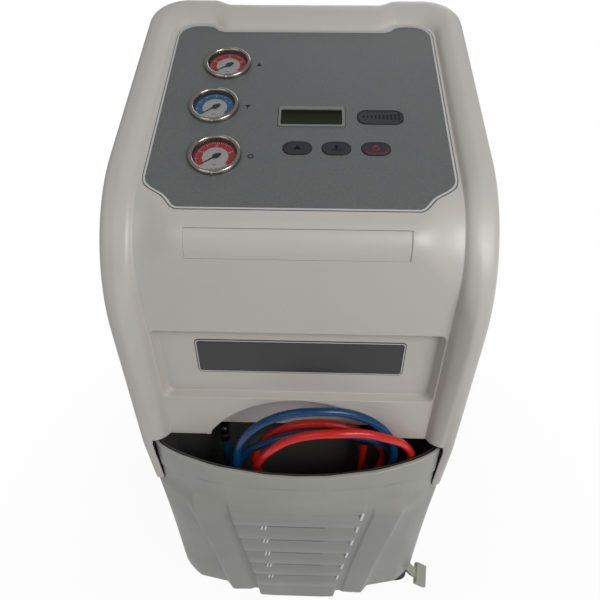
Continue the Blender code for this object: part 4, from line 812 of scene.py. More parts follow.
# The ribs and nubs are coloured much lighter than the cover as painted highlight, for the glints of light on
# them.
dressed(rib_piece, moulded("rib_plastic_painted_highlight", (0.62, 0.62, 0.60), 0.22))
upstands = [box_mesh((x - 0.0016, SILL_Y - 0.035, SILL_Z - 0.4965),
                     (x + 0.0016, SILL_Y - 0.0006, SILL_Z - 0.4740)) for x in (0.2442, -0.2442)]
upstand_piece = carve(new_piece("cover_upstands", joined("upstands", upstands)), [], 0.0006, 2)
dressed(upstand_piece, cover_plastic)

# Hose pocket.
# A bin with a thin wall, formed from sheet plastic with a matt grain, and screwed up behind the lip. Its grey
# plastic is coloured near black as painted shade of the deep pocket. It is open at its top, and the elbows of
# the two hoses pass through its back.


BIN_HALF = 0.225
BIN_WALL = 0.0025
BIN_TOP = -0.3785


def bin_outline(shrink):
    """The pocket in plan: a flat back and a bowed front."""
    half = BIN_HALF - shrink
    front = []
    for step in range(-18, 19):
        x = half * math.sin(math.radians(5 * step))
        depth = -0.038 - 0.048 * max(0.0, 1 - (x / (half + 0.0001)) ** 2) ** 0.7
        front.append((x, SILL_Y + depth + shrink))
    side, back = SILL_Y - 0.034, SILL_Y + 0.0245 - shrink
    return front + [(half, side), (half, back), (-half, back), (-half, side)]


def bin_mesh():
    """The pocket's wall and floor. Its front edge dips under the lip, and its back reaches the shell."""
    outer, inner = bin_outline(0.0), bin_outline(BIN_WALL)
    tops = [-0.3945 - 0.0175 * (1 - (x / BIN_HALF) ** 2) for x, y in outer[:-4]] + [BIN_TOP] * 4
    count = len(outer)
    levels = ((outer, [-0.5775] * count), (outer, tops), (inner, tops), (inner, [-0.575] * count))
    points = [(x, y, SILL_Z + z) for line, heights in levels for (x, y), z in zip(line, heights)]
    faces = [tuple(range(count))[::-1], tuple(range(3 * count, 4 * count))]
    for low in range(0, 3 * count, count):
        for i in range(count):
            j = (i + 1) % count
            faces.append((low + i, low + j, low + count + j, low + count + i))
    return closed_mesh("pocket_bin", points, faces)


pocket = new_piece("pocket_bin", bin_mesh(), smooth=False)
carve(pocket, [("DIFFERENCE", prism(circle(0.0083, 32, x, z), -0.040, -0.010, upright_plane))
               for x, z in FITTING_SPOTS.values()], 0.0008, 2, 40)
# Painted shade: the pocket's grey plastic is coloured almost black, for the shade deep in the pocket.
dressed(pocket, moulded("pocket_painted_shade", (0.046, 0.047, 0.038), 0.55, 0.00014), "hose_pocket")

# Plate in the bay.
# A plain dark plate of anodised sheet with a pale printed line round its edge. It is stuck to the flat floor
# of the bay.


def rim(outer, inner, low, high, place=Matrix()):
    """A closed frame between two outlines of the same number of points."""
    count = len(outer)
    points = [place @ Vector((x, y, h)) for h in (low, high) for line in (outer, inner) for x, y in line]
    faces = []
    for i in range(count):
        j = (i + 1) % count
        a, b, c, d = 0, count, 2 * count, 3 * count
        faces += [(a + i, b + i, b + j, a + j), (c + i, c + j, d + j, d + i), (a + i, a + j, c + j, c + i),
                  (b + i, d + i, d + j, b + j)]
    return closed_mesh("rim", points, faces)


def plain(name, mesh, finish, body="cabinet", edge=0.0, place=Matrix()):
    """A small piece with flat faces, its edges rounded a little, in one finish."""
    piece = new_piece(name, mesh, body, place, smooth=False)
    if edge:
        carve(piece, [], edge, 2)
    return dressed(piece, finish)


plate_black = Finish("plate_black", (0.016, 0.016, 0.017))
plate_black.worn(0.26, 0.14, (30, 3), (260, 1), 0.00003)
print_pale = Finish("print_pale", (0.46, 0.47, 0.46))
print_pale.feed(Roughness=0.42 + print_pale.noise(150, 2) * 0.15,
                Base_Color=print_pale.blend(print_pale.noise(400, 2) * 0.3, print_pale.colour,
                                            (0.36, 0.37, 0.36, 1)))
plate = prism(oblong(-0.147, 0.1545, -0.2525, -0.1900, 0.006), 0.0215, 0.0230, upright_plane)
plain("bay_plate", plate, plate_black, edge=0.0004)
edge_line = rim(oblong(-0.1458, 0.1533, -0.2513, -0.1912, 0.0050),
                oblong(-0.1443, 0.1518, -0.2498, -0.1927, 0.0040), 0.0228, 0.02308, upright_plane)
plain("bay_plate_edge", edge_line, print_pale)

# Control overlay.
# A polyester sheet, printed on its back in dark speckled grey with a pale line at its edge, stuck into the
# console's recess. A plain printed sign stands beside each gauge.
FILM_GREY = (0.112, 0.123, 0.121)
film = Finish("overlay_film", FILM_GREY, Specular_IOR_Level=0.45)
speckle = film.noise(1150, 2, 0.6).rise(0.40, 0.66)
cloud = film.noise(14, 3)
film.feed(Base_Color=film.blend(speckle * 0.75, shade(FILM_GREY, 0.78), shade(FILM_GREY, 1.30)),
          Roughness=0.34 + cloud * 0.10)
film.bumps(film.noise(900, 2) + cloud * 0.4, 0.00004)
sheet = prism(overlay_outline(0.0), -0.0012, -0.0002, on_console(0, 0))
overlay = new_piece("overlay_sheet", sheet, smooth=False)
carve(overlay, [("DIFFERENCE", tool) for tool in panel_openings(0.0008, -0.012, 0.020)], 0.0002, 2)
dressed(overlay, film, "control_overlay")
PRINT = (-0.00022, -0.00012)
edge_line = rim(overlay_outline(-0.0006), overlay_outline(-0.0032), *PRINT, on_console(0, 0))
plain("overlay_edge_line", edge_line, print_pale)
signs = []
for name, (u, v) in GAUGES.items():
    place = on_console(u + 0.047, v)
    if name == "upper":
        signs.append(prism([(-0.0042, -0.0036), (0.0042, -0.0036), (0.0, 0.0038)], *PRINT, place))
    elif name == "middle":
        signs.append(prism([(-0.0042, 0.0036), (0.0, -0.0038), (0.0042, 0.0036)], *PRINT, place))
    else:
        signs.append(rim(circle(0.0042, 32), circle(0.0026, 32), *PRINT, place))
ink_black = Finish("ink_black", (0.010, 0.010, 0.012), Specular_IOR_Level=0.2)
ink_black.worn(0.50, 0.15, (300, 2), (900, 1), 0.00002)
plain("overlay_signs", joined("signs", signs), ink_black)

# Display.
# A framed module with a reflective display: a grey frame, and a dark olive window whose top is painted darker
# as painted shade.
window_grey = Finish("frame_grey", (0.150, 0.165, 0.155))
window_grey.worn(0.36, 0.14, (80, 3), (700, 1), 0.00004)
flange_line = oblong(-0.036, 0.0645, 0.143, 0.191, 0.003, 4)
frame_line = oblong(-0.032, 0.0605, 0.147, 0.187, 0.003, 4)
layers = [(flange_line, -0.0115), (flange_line, -0.0038), (frame_line, -0.0038), (frame_line, 0.0009)]
screen_frame = new_piece("display_frame", stack(layers, on_console(0, 0)), smooth=False)
carve(screen_frame, [("DIFFERENCE", prism(oblong(-0.0283, 0.0563, 0.1507, 0.1813, 0.002, 4), -0.0030, 0.010,
                                          on_console(0, 0)))], 0.0006, 2)
dressed(screen_frame, window_grey, "display_module")
glassy = Finish("display_glass", (0.016, 0.018, 0.009), Roughness=0.30, Specular_IOR_Level=0.08)
# Painted shade: the window's colour is darker at its top than lower down.
height = glassy.node("SeparateXYZ", {}, {0: glassy.place}, out=2).rise(0.963, 0.980)
cells = glassy.node("TexBrick", {"offset": 0.0}, {"Vector": glassy.place, "Scale": 170.0, "Mortar Size": 0.03,
                    "Color1": (1, 1, 1, 1), "Color2": (1, 1, 1, 1), "Mortar": (0, 0, 0, 1)}, out=1)
glassy.feed(Base_Color=glassy.blend(height, (0.020, 0.022, 0.011, 1), (0.002, 0.003, 0.002, 1)))
glassy.bumps(cells * 0.2 + glassy.noise(40, 1), 0.00003)
glassy.on("display_window")

# Level window.
# A slate lozenge with a darker moulded rim and ten bars that grow to the right, lit from behind in use.
slate = Finish("slate_plastic", (0.028, 0.034, 0.038), Specular_IOR_Level=0.25)
slate.worn(0.30, 0.15, (60, 3), (600, 2), 0.00005)
dark_rim = Finish("dark_rim", (0.014, 0.016, 0.018))
dark_rim.worn(0.34, 0.12, (90, 2), (500, 1), 0.00003)
flange_line = oblong(0.075, 0.144, 0.150, 0.184, 0.0155)
face_line = oblong(0.078, 0.141, 0.153, 0.181, 0.0125)
layers = [(flange_line, -0.0075), (flange_line, -0.0038), (face_line, -0.0038), (face_line, 0.0003)]
pill = plain("level_lozenge", stack(layers, on_console(0, 0)), slate, edge=0.0003)
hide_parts("level_window")
lozenge_rim = rim(oblong(0.0782, 0.1408, 0.1532, 0.1808, 0.0123),
                  oblong(0.0798, 0.1392, 0.1548, 0.1792, 0.0107), 0.0002, 0.0009, on_console(0, 0))
plain("level_rim", lozenge_rim, dark_rim, edge=0.0002)
bars = []
for number in range(10):
    x = 0.0850 + 0.0054 * number
    tall = 0.0026 + 0.00105 * number
    bars.append(prism(oblong(x, x + 0.0032, 0.1672 - tall * 0.55, 0.1672 + tall * 0.55, 0.0008, 3), 0.0002,
                      0.00045, on_console(0, 0)))
plain("level_bars", joined("bars", bars), ink_black)

# Keys.
# Three dished rubber keys in dark rims, each with a printed sign. The right one's sign and half of its rim
# are red.
key_rubber = Finish("key_rubber", (0.022, 0.026, 0.030), Specular_IOR_Level=0.25)
key_rubber.worn(0.44, 0.16, (70, 3), (800, 2), 0.00006)
ink_blue = Finish("ink_blue", (0.003, 0.004, 0.020), Specular_IOR_Level=0.1)
ink_red = Finish("ink_red", (0.30, 0.020, 0.024), Specular_IOR_Level=0.1)
for ink in (ink_blue, ink_red):
    ink.worn(0.40, 0.2, (200, 2), (900, 1), 0.00002)
SIGNS = {
    "left": [[(-0.0052, -0.0036), (0.0052, -0.0036), (0.0, 0.0044)]],
    "middle": [[(-0.0062, -0.0044), (0.0062, -0.0044), (0.0062, -0.0030), (-0.0062, -0.0030)],
               [(-0.0012, -0.0022), (0.0012, -0.0022), (0.0012, 0.0012), (0.0040, 0.0012), (0.0, 0.0052),
                (-0.0040, 0.0012), (-0.0012, 0.0012)]],
    "right": [[(-0.0042, -0.0040), (0.0042, -0.0040), (0.0042, 0.0040), (-0.0042, 0.0040)]]}


def key_line(grow):
    """A key's outline, with its ends almost fully round, moved outwards by grow."""
    return oblong(-0.019 - grow, 0.019 + grow, -0.012 - grow, 0.012 + grow, 0.0118 + grow)


for name, (u, v) in KEYS.items():
    place = on_console(u, v)
    layers = [(key_line(0.0020), -0.0060), (key_line(0.0020), -0.0038), (key_line(0.0), -0.0038),
              (key_line(0.0), 0.0003), (key_line(-0.0006), 0.0008)]
    cap = plain(f"key_cap_{name}", stack(layers), key_rubber, f"key_{name}", 0.0003, place)
    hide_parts(f"key_{name}")
    border = rim(key_line(-0.0006), key_line(-0.0022), 0.0007, 0.00105)
    plain(f"key_rim_{name}", border, dark_rim, f"key_{name}", 0.0001, place)
    marks = [prism(line, 0.0007, 0.00092) for line in SIGNS[name]]
    if name == "right":
        marks = [rim(circle(0.0044, 32), circle(0.0031, 32), 0.0007, 0.00092),
                 prism([(-0.0007, 0.0008), (0.0007, 0.0008), (0.0007, 0.0060), (-0.0007, 0.0060)], 0.0007,
                       0.00094), prism(key_line(-0.0024)[22:36] + key_line(-0.0035)[22:36][::-1], 0.0007,
                                       0.00094)]
    plain(f"key_sign_{name}", joined("signs", marks), ink_red if name == "right" else ink_blue,
          f"key_{name}", place=place)
board = Finish("board_green", (0.02, 0.12, 0.05), Roughness=0.35)
tracks = board.node("TexBrick", {}, {"Vector": board.place, "Scale": 90.0, "Mortar Size": 0.06}, out=1)
board.feed(Base_Color=board.blend(tracks, board.colour, (0.06, 0.22, 0.09, 1)))
board.bumps(tracks + board.noise(300, 2), 0.00005)
board.on("control_board")

# Gauges.
# Each is a pressed steel case with a rolled bright bezel, set into a round opening of the console. It holds a
# printed dial, a black needle on a pin, and a glass in a dark gasket. Its pipe stub points down behind.
polished = Finish("polished_steel", (0.36, 0.325, 0.29), Metallic=1.0)
polished.worn(0.13, 0.12, (90, 3), (14, 2), 0.00010)
CASE = [(0.0, -0.0018), (0.0012, -0.0018), (0.0012, -0.0032), (0.0290, -0.0032), (0.0290, 0.0040),
        (0.0296, 0.0056), (0.0310, 0.0064), (0.0328, 0.0064), (0.0343, 0.0055), (0.0350, 0.0038),
        (0.0350, 0.0001), (0.0315, 0.0001), (0.0315, -0.0250), (0.0080, -0.0250), (0.0080, -0.0330),
        (0.0, -0.0330)]
NUB = rounded([(0.0, 0.0060), (0.0016, 0.0060), (0.0026, 0.0046), (0.0026, 0.0002), (0.0, 0.0002)], 0.0006, 3)
NUB_DROP = Matrix.Translation((0.0, -0.0334, 0.0))
DIAL_FRONT = -0.0021
DIAL = [(0.0016, DIAL_FRONT), (0.0289, DIAL_FRONT), (0.0289, -0.0029), (0.0016, -0.0029)]
INK = (DIAL_FRONT - 0.00005, DIAL_FRONT + 0.00005)
DIAL_SWEEP = 260
needle_black = Finish("needle_black", (0.010, 0.010, 0.010))
needle_black.feed(Roughness=0.36 + needle_black.noise(120, 2) * 0.14)
lens = Finish("lens_glass", (0.05, 0.055, 0.055), Roughness=0.04, Alpha=0.16, Specular_IOR_Level=0.6)
lens.bumps(lens.noise(25, 1), 0.00003)
ticks_white = Finish("dial_print_white", (0.55, 0.55, 0.54))
ticks_white.feed(Roughness=0.5 + ticks_white.noise(300, 1) * 0.1)
digits_black = Finish("dial_print_black", (0.02, 0.02, 0.02))
digits_black.feed(Roughness=0.5 + digits_black.noise(300, 1) * 0.1)


def number_mesh(text, size, place):
    curve = bpy.data.curves.new("number", "FONT")
    curve.body = text
    curve.size = size
    curve.align_x = curve.align_y = "CENTER"
    curve.extrude = 0.00002
    holder = bpy.data.objects.new("number", curve)
    scene.collection.objects.link(holder)
    graph = bpy.context.evaluated_depsgraph_get()
    mesh = bpy.data.meshes.new_from_object(holder.evaluated_get(graph))
    bpy.data.objects.remove(holder)
    mesh.transform(place)
    return mesh


SCALES = {"upper": ((0.47, 0.030, 0.026), (0, 10, 20, 30, 40)), "middle": ((0.025, 0.150, 0.330),
                                                                           (0, 5, 10, 15)),
          "lower": ((0.47, 0.030, 0.026), (0, 10, 20, 30, 40))}
GASKET = rounded([(0.0278, -0.0020), (0.0278, 0.0022), (0.0289, 0.0022), (0.0289, -0.0020)], 0.0002, 2)
for name, (u, v) in GAUGES.items():
    spot = on_console(u, v)
    case_mesh = turned("housing", rounded(CASE, 0.0007, 3), steps=96)
    case = new_piece(f"gauge_housing_{name}", case_mesh, place=spot)
    nub = new_piece(f"gauge_nub_{name}", turned("nub", NUB, steps=24), place=spot @ NUB_DROP)
    dressed(case, polished, f"gauge_case_{name}")
    dressed(nub, polished)
    gasket = new_piece(f"gauge_gasket_{name}", turned("gasket", GASKET, steps=96, ring=True), place=spot)
    dressed(gasket, dark_rim)
    ring, numbers = SCALES[name]
    disc = turned("gauge_face", DIAL, ring=True, steps=96)
    dial = new_piece(f"gauge_face_{name}", disc, place=spot, smooth=False)
    face = Finish(f"dial_{name}", (0.50, 0.50, 0.50), Specular_IOR_Level=0.2)
    x = face.node("SeparateXYZ", {}, {0: face.place}, out=0)
    y = face.node("SeparateXYZ", {}, {0: face.place}, out=1)
    spoke = face.node("CombineXYZ", {}, {0: x, 1: y})
    radius = face.node("VectorMath", {"operation": "LENGTH"}, {0: spoke}, out=1)
    angle = abs(x.maths("ARCTAN2", x, y))
    band = radius.rise(0.0168, 0.0172) * (1 - radius.rise(0.0282, 0.0285)) * (1 - angle.rise(2.28, 2.31))
    face.feed(Base_Color=face.blend(band, face.colour, (*ring, 1.0)),
              Roughness=0.40 + face.noise(160, 2) * 0.15)
    dressed(dial, face, f"gauge_dial_{name}")
    ticks = []
    for number in range(41):
        turn = Matrix.Rotation(math.radians(DIAL_SWEEP * (0.5 - number / 40)), 4, "Z")
        inner = 0.0215 if number % 10 == 0 else 0.0232 if number % 5 == 0 else 0.0246
        wide = 0.00042 if number % 5 == 0 else 0.00026
        ticks.append(prism([(-wide, inner), (wide, inner), (wide, 0.0268), (-wide, 0.0268)], *INK, turn))
    ticks.append(rim(circle(0.0174, 64), circle(0.0170, 64), *INK))
    for number, value in enumerate(numbers):
        turn = math.radians(DIAL_SWEEP * (0.5 - number / (len(numbers) - 1)))
        place = Matrix.Translation((-0.0196 * math.sin(turn), 0.0196 * math.cos(turn), DIAL_FRONT + 0.00003))
        ticks.append(number_mesh(str(value), 0.0040, place))
    plain(f"gauge_ticks_{name}", joined("ticks", ticks), ticks_white, place=spot)
    dots = [prism(circle(0.0008, 16, x, -0.0215), *INK) for x in (-0.003, 0.003)]
    dots.append(number_mesh("bar", 0.0042, Matrix.Translation((0, -0.0135, DIAL_FRONT + 0.00003))))
    plain(f"gauge_dots_{name}", joined("dots", dots), digits_black, place=spot)
    needle_black.on(f"gauge_needle_{name}")
    lens.on(f"gauge_lens_{name}")

# Cabinet.
# Folded steel sheets in textured paint on a welded frame of square tube: a tray, two sides and a louvred
# rear, held by pan-head screws.


def painted(name, colour, rough=0.45):
    """Textured powder paint: small round bumps, and dirt that gathers in faint clouds."""
    paint = Finish(name, colour)
    dirt = paint.noise(7, 4, 0.6).rise(0.45, 0.85)
    paint.feed(Base_Color=paint.blend(dirt * 0.25, paint.colour, shade(colour, 0.80)),
               Roughness=rough + dirt * 0.12)
    return paint.bumps(paint.noise(420, 3) + paint.noise(1300, 1) * 0.5, 0.00012)


def metal(name, colour, rough=0.28):
    """Plated or bare metal: uneven gloss, fine scratches and a dull film in patches."""
    bare = Finish(name, colour, Metallic=1.0)
    film_share = bare.noise(26, 4, 0.6).rise(0.35, 0.75)
    scratches = bare.node("TexWave", {"bands_direction": "Z"}, {"Vector": bare.place, "Scale": 60.0,
                                                                "Distortion": 9.0, "Detail": 3.0}, out=1)
    bare.feed(Base_Color=bare.blend(film_share * 0.4, bare.colour, shade(colour, 0.70)),
              Roughness=rough + film_share * 0.18)
    return bare.bumps(scratches * 0.5 + bare.noise(500, 2), 0.00004)


sheet_paint = painted("sheet_paint", (0.42, 0.41, 0.375))
dark_paint = painted("frame_paint", (0.030, 0.030, 0.032), 0.42)
sheet_paint.on("side_panel_left", "side_panel_right", "rear_panel")
dark_paint.on("cabinet_frame", "base_tray", "bottle_bracket")
zinc = metal("zinc_steel", (0.55, 0.55, 0.53), 0.30)
SIDE_FACE = HALF_BODY - 0.0068
REAR_FACE = 0.198
PAN_HEAD = rounded([(0.0, 0.0022), (0.0028, 0.0020), (0.0042, 0.0008), (0.0042, -0.0004), (0.0, -0.0004)],
                   0.0006, 3)


def screw_heads(name, spots, axis):
    """Pan-head screws with crossed slots, with their heads' undersides at the spots."""
    heads = []
    for spot in spots:
        head = new_piece("head", turned("head", PAN_HEAD, steps=20), body=None)
        carve(head, [("DIFFERENCE", box_mesh((-a, -b, 0.0008), (a, b, 0.0040)))
                     for a, b in ((0.0022, 0.0005), (0.0005, 0.0022))])
        mesh = head.data
        bpy.data.objects.remove(head)
        mesh.transform(Matrix.Translation(spot) @ facing(axis))
        heads.append(mesh)
    return zinc.on(new_piece(name, joined(name, heads), smooth=False))


for side, name in ((-1, "left"), (1, "right")):
    spots = [Vector((side * SIDE_FACE, y, z)) for y, z in
             ((-0.150, 0.135), (0.010, 0.130), (0.180, 0.135), (0.184, 0.420), (0.184, 0.700), (0.184, 0.985),
              (-0.155, 0.350), (-0.155, 0.640), (-0.110, 0.900), (0.030, 0.975))]
    screw_heads(f"side_screws_{name}", spots, (side, 0, 0))
spots = [Vector((x, REAR_FACE, z)) for x in (-0.228, 0.228) for z in (0.135, 0.350, 0.560, 0.780, 0.985)]
spots += [Vector((x, REAR_FACE + 0.0023, 0.608)) for x in (-0.172, -0.106, -0.040)]
screw_heads("rear_screws", spots, (0, 1, 0))
hoods = []
for number in range(7):
    z = 0.660 + 0.028 * number
    curl = [(REAR_FACE - 0.0002, z + 0.0150), (REAR_FACE - 0.0002, z + 0.0100),
            (REAR_FACE + 0.0012, z + 0.0098), (REAR_FACE + 0.0026, z + 0.0068),
            (REAR_FACE + 0.0031, z + 0.0020), (REAR_FACE + 0.0040, z + 0.0020),
            (REAR_FACE + 0.0036, z + 0.0082), (REAR_FACE + 0.0022, z + 0.0125)]
    hoods.append(prism(curl, -0.121, 0.121, across_x))
plain("rear_louvres", joined("hoods", hoods), sheet_paint, edge=0.0005)

# Power inlet and main switch.
# A moulded inlet for the mains lead with three pins, and a red rocker beside it, clipped into the rear sheet.
inlet_black = moulded("inlet_black", (0.014, 0.014, 0.015), 0.40)
inlet_black.on("power_inlet")
moulded("rocker_red", (0.50, 0.022, 0.016), 0.30).on("main_switch")

# Push handle.
# A bent steel tube, coated black, on two round feet that are screwed to the rear sheet. A soft ribbed sleeve
# covers the stretch that the hands hold.
GRIP_RADIUS = 0.0125
HANDLE_REACH = 0.280 - GRIP_RADIUS
HANDLE_HALF = 0.170
HANDLE_LEVEL = 0.990
HANDLE_BEND = 0.035
bend_start = HANDLE_HALF - HANDLE_BEND
grip_path = [(-HANDLE_HALF, REAR_FACE + 0.004, HANDLE_LEVEL)]
for step in range(17):
    angle = math.radians(90 * step / 16)
    grip_path.append((-HANDLE_HALF + HANDLE_BEND * (1 - math.cos(angle)),
                      HANDLE_REACH - HANDLE_BEND * (1 - math.sin(angle)), HANDLE_LEVEL))
for step in range(1, 30):
    grip_path.append((mix(-bend_start, bend_start, step / 30), HANDLE_REACH, HANDLE_LEVEL))
grip_path += [(-x, y, z) for x, y, z in reversed(grip_path[:18])]


def tube(name, path, radius, ripple=0.0):
    """A mesh tube with closed ends along a path in a level plane."""
    points = []
    count = 28
    path = [Vector(spot) for spot in path]
    for number, spot in enumerate(path):
        ahead = (path[min(number + 1, len(path) - 1)] - path[max(number - 1, 0)]).normalized()
        side = ahead.cross(Vector((0, 0, 1))).normalized()
        width = radius - (ripple if number % 2 else 0.0)
        for i in range(count):
            angle = 2 * math.pi * i / count
            points.append(spot + width * (side * math.cos(angle) + Vector((0, 0, 1)) * math.sin(angle)))
    faces = [tuple(range(count)), tuple(range(len(points) - count, len(points)))[::-1]]
    for row in range(len(path) - 1):
        for i in range(count):
            j = (i + 1) % count
            faces.append((row * count + i, row * count + j, (row + 1) * count + j, (row + 1) * count + i))
    return closed_mesh(name, points, faces)


sleeve = [spot for spot in spread([Vector(spot) for spot in grip_path], 0.0035) if abs(spot.x) < 0.128]
handle_meshes = [tube("grip", grip_path, GRIP_RADIUS), tube("sleeve", sleeve, GRIP_RADIUS, 0.0006)]
FOOT = rounded([(0.0, 0.0060), (0.0200, 0.0060), (0.0220, 0.0045), (0.0220, 0.0003), (0.0, 0.0003)], 0.0010,
               3)
for side in (-1, 1):
    place = Matrix.Translation((side * HANDLE_HALF, REAR_FACE, HANDLE_LEVEL)) @ facing((0, 1, 0))
    handle_meshes.append(turned("foot", FOOT, place, 48))
handle = new_piece("handle_tube", joined("handle", handle_meshes))
dressed(handle, moulded("grip_black", (0.018, 0.018, 0.018), 0.62, 0.00022), "push_handle")

# Oil bottles.
# Two blown bottles of cloudy plastic, one for fresh oil and one for drained oil, with black screw caps.
BOTTLE = rounded([(0.0, 0.0992), (0.0120, 0.0990), (0.0120, 0.0940), (0.0280, 0.0850), (0.0290, 0.0800),
                  (0.0290, 0.0300), (0.0284, 0.0280), (0.0290, 0.0260), (0.0290, 0.0030), (0.0270, 0.0),
                  (0.0, 0.0)], 0.0025, 4)
CAP = rounded([(0.0, 0.1180), (0.0150, 0.1180), (0.0150, 0.1000), (0.0122, 0.0994), (0.0122, 0.0990),
               (0.0, 0.0990)], 0.0008, 3)
for number, x, oil in ((1, -0.140, (0.50, 0.30, 0.06)), (2, -0.072, (0.10, 0.055, 0.020))):
    spot = Matrix.Translation((x, REAR_FACE + 0.0340, 0.5633))
    bottle = new_piece(f"bottle_{number}", turned("bottle", BOTTLE, steps=56), f"oil_bottle_{number}", spot)
    cloudy = Finish(f"bottle_plastic_{number}", (0.55, 0.53, 0.45), Roughness=0.35, Subsurface_Weight=0.2)
    level = cloudy.node("SeparateXYZ", {}, {0: cloudy.place}, out=2).rise(0.0520, 0.0535)
    cloudy.feed(Base_Color=cloudy.blend(level, (*oil, 1.0), cloudy.colour))
    cloudy.bumps(cloudy.noise(220, 3), 0.00012)
    dressed(bottle, cloudy, f"oil_bottle_{number}")
    cap_mesh = turned("cap", CAP, steps=48)
    teeth = [prism(circle(0.0008, 6, 0.0149 * math.cos(a), 0.0149 * math.sin(a)), 0.1015, 0.1165)
             for a in (2 * math.pi * i / 36 for i in range(36))]
    cap = new_piece(f"bottle_cap_{number}", joined("cap", [cap_mesh] + teeth), f"oil_bottle_{number}", spot)
    dressed(cap, inlet_black)

# Refrigerant circuit.
# Tank on its scale, compressor, vacuum pump and oil separator on the tray, and the condenser with its fan,
# the drier and the valve block on the shelf.
painted("tank_paint", (0.40, 0.42, 0.40), 0.35).on("refrigerant_tank")
painted("compressor_paint", (0.014, 0.014, 0.016), 0.30).on("compressor")
painted("separator_paint", (0.10, 0.11, 0.12), 0.35).on("oil_separator")
painted("drier_paint", (0.45, 0.06, 0.02), 0.30).on("filter_drier")
metal("platform_alu", (0.60, 0.60, 0.60), 0.30).on("scale_platform")
metal("valve_brass", (0.60, 0.44, 0.20), 0.30).on("valve_manifold")
painted("pump_paint", (0.02, 0.04, 0.16), 0.35).on("vacuum_pump")
fins = Finish("condenser_alu", (0.55, 0.55, 0.56), Metallic=1.0)
lines = fins.node("TexWave", {"bands_direction": "X"}, {"Vector": fins.place, "Scale": 160.0}, out=1)
fins.feed(Roughness=0.30 + lines * 0.25)
fins.bumps(lines, 0.00060).on("condenser")
moulded("fan_black", (0.016, 0.016, 0.018), 0.42).on("fan_rotor")

# Rear wheels.
# A solid rubber tyre with three grooves on a moulded hub with five ribs and a push-on cap, on a plated axle.
metal("axle_steel", (0.50, 0.50, 0.50), 0.25).on("rear_axle")
tyre_rubber = Finish("tyre_rubber", (0.022, 0.022, 0.023))
tyre_rubber.feed(Base_Color=tyre_rubber.blend(tyre_rubber.noise(30, 4, 0.6).rise(0.4, 0.8) * 0.5,
                                              tyre_rubber.colour, (0.060, 0.057, 0.052, 1)),
                 Roughness=0.62 + tyre_rubber.noise(200, 2) * 0.2)
tyre_rubber.bumps(tyre_rubber.noise(320, 3), 0.00025)
hub_grey = moulded("hub_grey", (0.10, 0.10, 0.105), 0.45)
INNER_SIDE = HALF_BODY + 0.002
OUTER_SIDE = INNER_SIDE + 0.034
TYRE = [(0.0705, OUTER_SIDE - 0.0060), (0.0780, OUTER_SIDE - 0.0030), (0.0900, OUTER_SIDE),
        (0.0965, OUTER_SIDE - 0.003), (0.1000, OUTER_SIDE - 0.010)]
for groove in (0.0135, 0.0170, 0.0205):
    TYRE += [(0.1000, OUTER_SIDE - groove + 0.0012), (0.0982, OUTER_SIDE - groove + 0.0008),
             (0.0982, OUTER_SIDE - groove - 0.0008), (0.1000, OUTER_SIDE - groove - 0.0012)]
TYRE += [(0.1000, INNER_SIDE + 0.010), (0.0965, INNER_SIDE + 0.003), (0.0900, INNER_SIDE),
         (0.0780, INNER_SIDE + 0.003), (0.0705, INNER_SIDE + 0.008)]
HUB = [(0.0, OUTER_SIDE - 0.0040), (0.0180, OUTER_SIDE - 0.0050), (0.0220, OUTER_SIDE - 0.0120),
       (0.0620, OUTER_SIDE - 0.0120), (0.0680, OUTER_SIDE - 0.0065), (0.0706, OUTER_SIDE - 0.0062),
       (0.0706, INNER_SIDE + 0.0082), (0.0220, INNER_SIDE + 0.010), (0.0220, INNER_SIDE),
       (0.0103, INNER_SIDE), (0.0103, OUTER_SIDE - 0.0085), (0.0, OUTER_SIDE - 0.0085)]
for side, name in ((-1, "left"), (1, "right")):
    place = Matrix.Translation((0, 0.165, 0.100)) @ facing((side, 0, 0))
    tyre_mesh = turned("tyre", rounded(TYRE, 0.0020, 3), steps=96, ring=True)
    tyre = new_piece(f"tyre_{name}", tyre_mesh, f"rear_wheel_{name}", place)
    spokes = [turned("hub", rounded(HUB, 0.0015, 3), steps=80)]
    for number in range(5):
        turn = Matrix.Rotation(math.radians(72 * number), 4, "Z")
        line = [(-0.0035, 0.0200), (0.0035, 0.0200), (0.0050, 0.0640), (-0.0050, 0.0640)]
        spokes.append(prism(line, OUTER_SIDE - 0.0128, OUTER_SIDE - 0.0075, turn))
    hub = new_piece(f"hub_{name}", joined("hub", spokes), f"rear_wheel_{name}", place)
    dressed(tyre, tyre_rubber, f"rear_wheel_{name}")
    dressed(hub, hub_grey)

# Casters.
# Zinc-plated plates and forks that turn under the tray, dark wheels with a tread on a moulded hub, and a
# grey moulded pedal that presses on the tread.
caster_zinc = metal("caster_zinc", (0.60, 0.59, 0.56), 0.26)
pedal_plastic = moulded("pedal_plastic", (0.34, 0.35, 0.30), 0.40)
hub_dark = moulded("caster_hub", (0.060, 0.060, 0.062), 0.42)
TREAD = rounded([(0.0290, 0.0118), (0.0345, 0.0120), (0.0368, 0.0100), (0.0375, 0.0060), (0.0375, -0.0060),
                 (0.0368, -0.0100), (0.0345, -0.0120), (0.0290, -0.0118)], 0.0020, 3)
CORE = rounded([(0.0043, 0.0135), (0.0120, 0.0135), (0.0130, 0.0090), (0.0270, 0.0090), (0.0291, 0.0118),
                (0.0291, -0.0118), (0.0270, -0.0090), (0.0130, -0.0090), (0.0120, -0.0135),
                (0.0043, -0.0135)], 0.0008, 3)
PEDAL_ARM = [(0.0342, 0.0762), (0.0426, 0.0737), (0.0607, 0.0624), (0.0680, 0.0450), (0.0780, 0.0400),
             (0.1000, 0.0330), (0.1010, 0.0370), (0.0800, 0.0450), (0.0730, 0.0500), (0.0645, 0.0650),
             (0.0480, 0.0755), (0.0410, 0.0810), (0.0360, 0.0815), (0.0335, 0.0790)]
